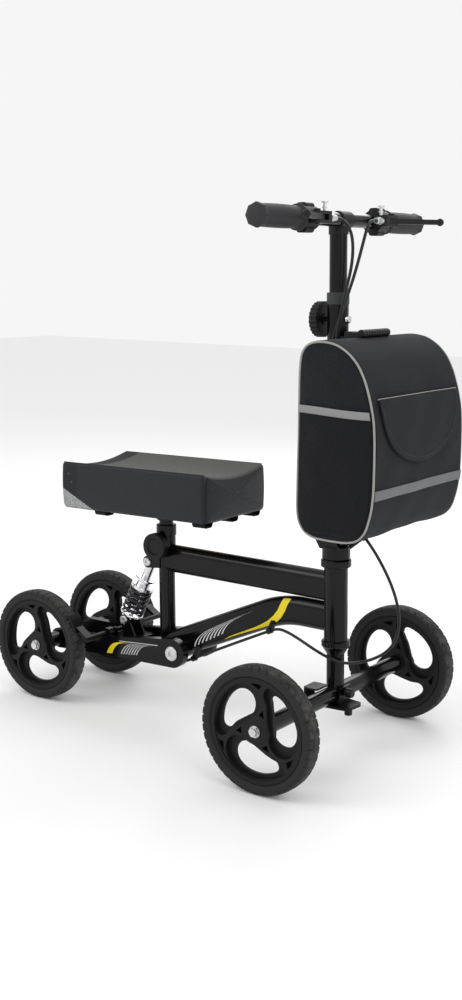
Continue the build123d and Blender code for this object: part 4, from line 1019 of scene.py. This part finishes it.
# ---------------------------------------------------------------- finishes of the solid parts
class SCOOTER_OT_finishes(bpy.types.Operator):
    """Gives every solid part its finish"""
    bl_idname = "scooter.finishes"
    bl_label = "Metal, plastic and paint"

    def execute(self, context):
        s = context.scene.scooter_wheels
        black = moulded("Black plastic", (0.0065, 0.0065, 0.0072), 0.4)
        steel = bare_metal("Bright steel", (0.62, 0.62, 0.63), 0.22)
        chrome = bare_metal("Chrome", (0.78, 0.78, 0.8), 0.07)
        alloy = bare_metal("Silver alloy", (0.6, 0.61, 0.62), 0.27)
        dark = bare_metal("Dark alloy", (0.02, 0.02, 0.022), 0.3)
        nylon = rim_nylon(tuple(s.nylon))
        paint = painted()
        by_slot = {"frame_paint": paint, "steel_bright": steel, "chrome": chrome, "alloy": alloy,
                   "rim_plastic": nylon, "black_plastic": black, "tyre_rubber": tyre_rubber(tuple(s.rubber)),
                   "grey_plastic": moulded("Grey guide", (0.034, 0.036, 0.04), 0.45),
                   "grip_rubber": black, "cable_jacket": black, "bag_fabric": black, "seat_cover": black,
                   "board_wood": plywood((0.5, 0.36, 0.2))}
        special = {"seat_post": paint, "handlebar": paint, "down_tube": down_tube_paint(),
                   "swing_arms": swing_arm_paint(), "brake_bar": dark, "beam_bracket": dark}
        slot_of = {p["node"]: p["material_slot"] for p in frame["record"]["subparts"]}
        for node, thing in frame["nodes"].items():
            finish = special.get(node) or by_slot[slot_of[node]]
            thing.data.materials.clear()
            thing.data.materials.append(finish)
        return {"FINISHED"}


# ---------------------------------------------------------------- stage
class SCOOTER_OT_stage(bpy.types.Operator):
    """Sets the floor, the lights and the camera"""
    bl_idname = "scooter.stage"
    bl_label = "Stage"

    def execute(self, context):
        s = context.scene.scooter_stage
        t = np.linspace(-9, 9, 40)
        x, y = np.meshgrid(t, t, indexing="ij")
        floor = skin("floor", np.stack((x, y, 0 * x), -1), outward=(0, 0, -1))
        f = Finish("Floor")
        f.set(base_color=tuple(s.floor), roughness=0.9)
        floor.data.materials.append(f.material)
        world = bpy.data.worlds.new("Studio")
        world.use_nodes = True
        world.node_tree.nodes["Background"].inputs["Color"].default_value = (1, 1, 1, 1)
        world.node_tree.nodes["Background"].inputs["Strength"].default_value = 0.92
        context.scene.world = world
        context.scene.view_settings.view_transform = "Standard"
        for name, where, size, power in (("key", (-1.6, -2.6, 2.6), 1.8, s.key_power),
                                         ("fill", (2.8, -0.8, 1.9), 2.0, s.key_power * 0.55),
                                         ("rim", (-0.6, 2.6, 2.2), 1.6, s.key_power * 0.7)):
            data = bpy.data.lights.new(name, "AREA")
            data.energy, data.size = power, size
            lamp = bpy.data.objects.new(name, data)
            lamp.location = where
            aim = Vector((0, 0, 0.4)) - Vector(where)
            lamp.rotation_euler = aim.to_track_quat("-Z", "Y").to_euler()
            context.scene.collection.objects.link(lamp)
        self.camera(context)
        return {"FINISHED"}

    def camera(self, context):
        data = bpy.data.cameras.new("camera")
        data.lens, data.sensor_width = 46.33, 36.0
        data.shift_x, data.shift_y = 0.0284, 0.0056
        data.dof.use_dof = False
        camera = bpy.data.objects.new("camera", data)
        where = Vector((1.31795, -1.7608, 0.7941))
        aim = (Vector((-0.00975, 0.0, 0.38353)) - where).to_track_quat("-Z", "Y").to_matrix().to_4x4()
        camera.matrix_world = Matrix.Translation(where) @ aim @ Matrix.Rotation(math.radians(0.42), 4, "Z")
        context.scene.collection.objects.link(camera)
        context.scene.camera = camera


class SCOOTER_PT_panel(bpy.types.Panel):
    """Lists the steps that dress the scooter"""
    bl_idname = "SCOOTER_PT_panel"
    bl_label = "Knee scooter"
    bl_space_type = "VIEW_3D"
    bl_region_type = "UI"
    bl_category = "Scooter"

    def draw(self, context):
        scene = context.scene
        for group in (scene.scooter_wheels, scene.scooter_soft, scene.scooter_stage):
            for key in group.bl_rna.properties.keys():
                if key not in ("rna_type", "name"):
                    self.layout.prop(group, key)
        for step in STEPS:
            self.layout.operator(step.bl_idname)


STEPS = (SCOOTER_OT_finishes, SCOOTER_OT_tyres, SCOOTER_OT_seat, SCOOTER_OT_bag, SCOOTER_OT_grips,
         SCOOTER_OT_spring, SCOOTER_OT_cables, SCOOTER_OT_stage)
CLASSES = (ScooterWheelSettings, ScooterSoftSettings, ScooterStageSettings, *STEPS, SCOOTER_PT_panel)


def register():
    for cls in CLASSES:
        bpy.utils.register_class(cls)
    bpy.types.Scene.scooter_wheels = bpy.props.PointerProperty(type=ScooterWheelSettings)
    bpy.types.Scene.scooter_soft = bpy.props.PointerProperty(type=ScooterSoftSettings)
    bpy.types.Scene.scooter_stage = bpy.props.PointerProperty(type=ScooterStageSettings)


def unregister():
    for name in ("scooter_stage", "scooter_soft", "scooter_wheels"):
        delattr(bpy.types.Scene, name)
    for cls in reversed(CLASSES):
        bpy.utils.unregister_class(cls)


def main():
    register()
    for step in STEPS:
        group, name = step.bl_idname.split(".")
        getattr(getattr(bpy.ops, group), name)()


if __name__ == "__main__":
    main()
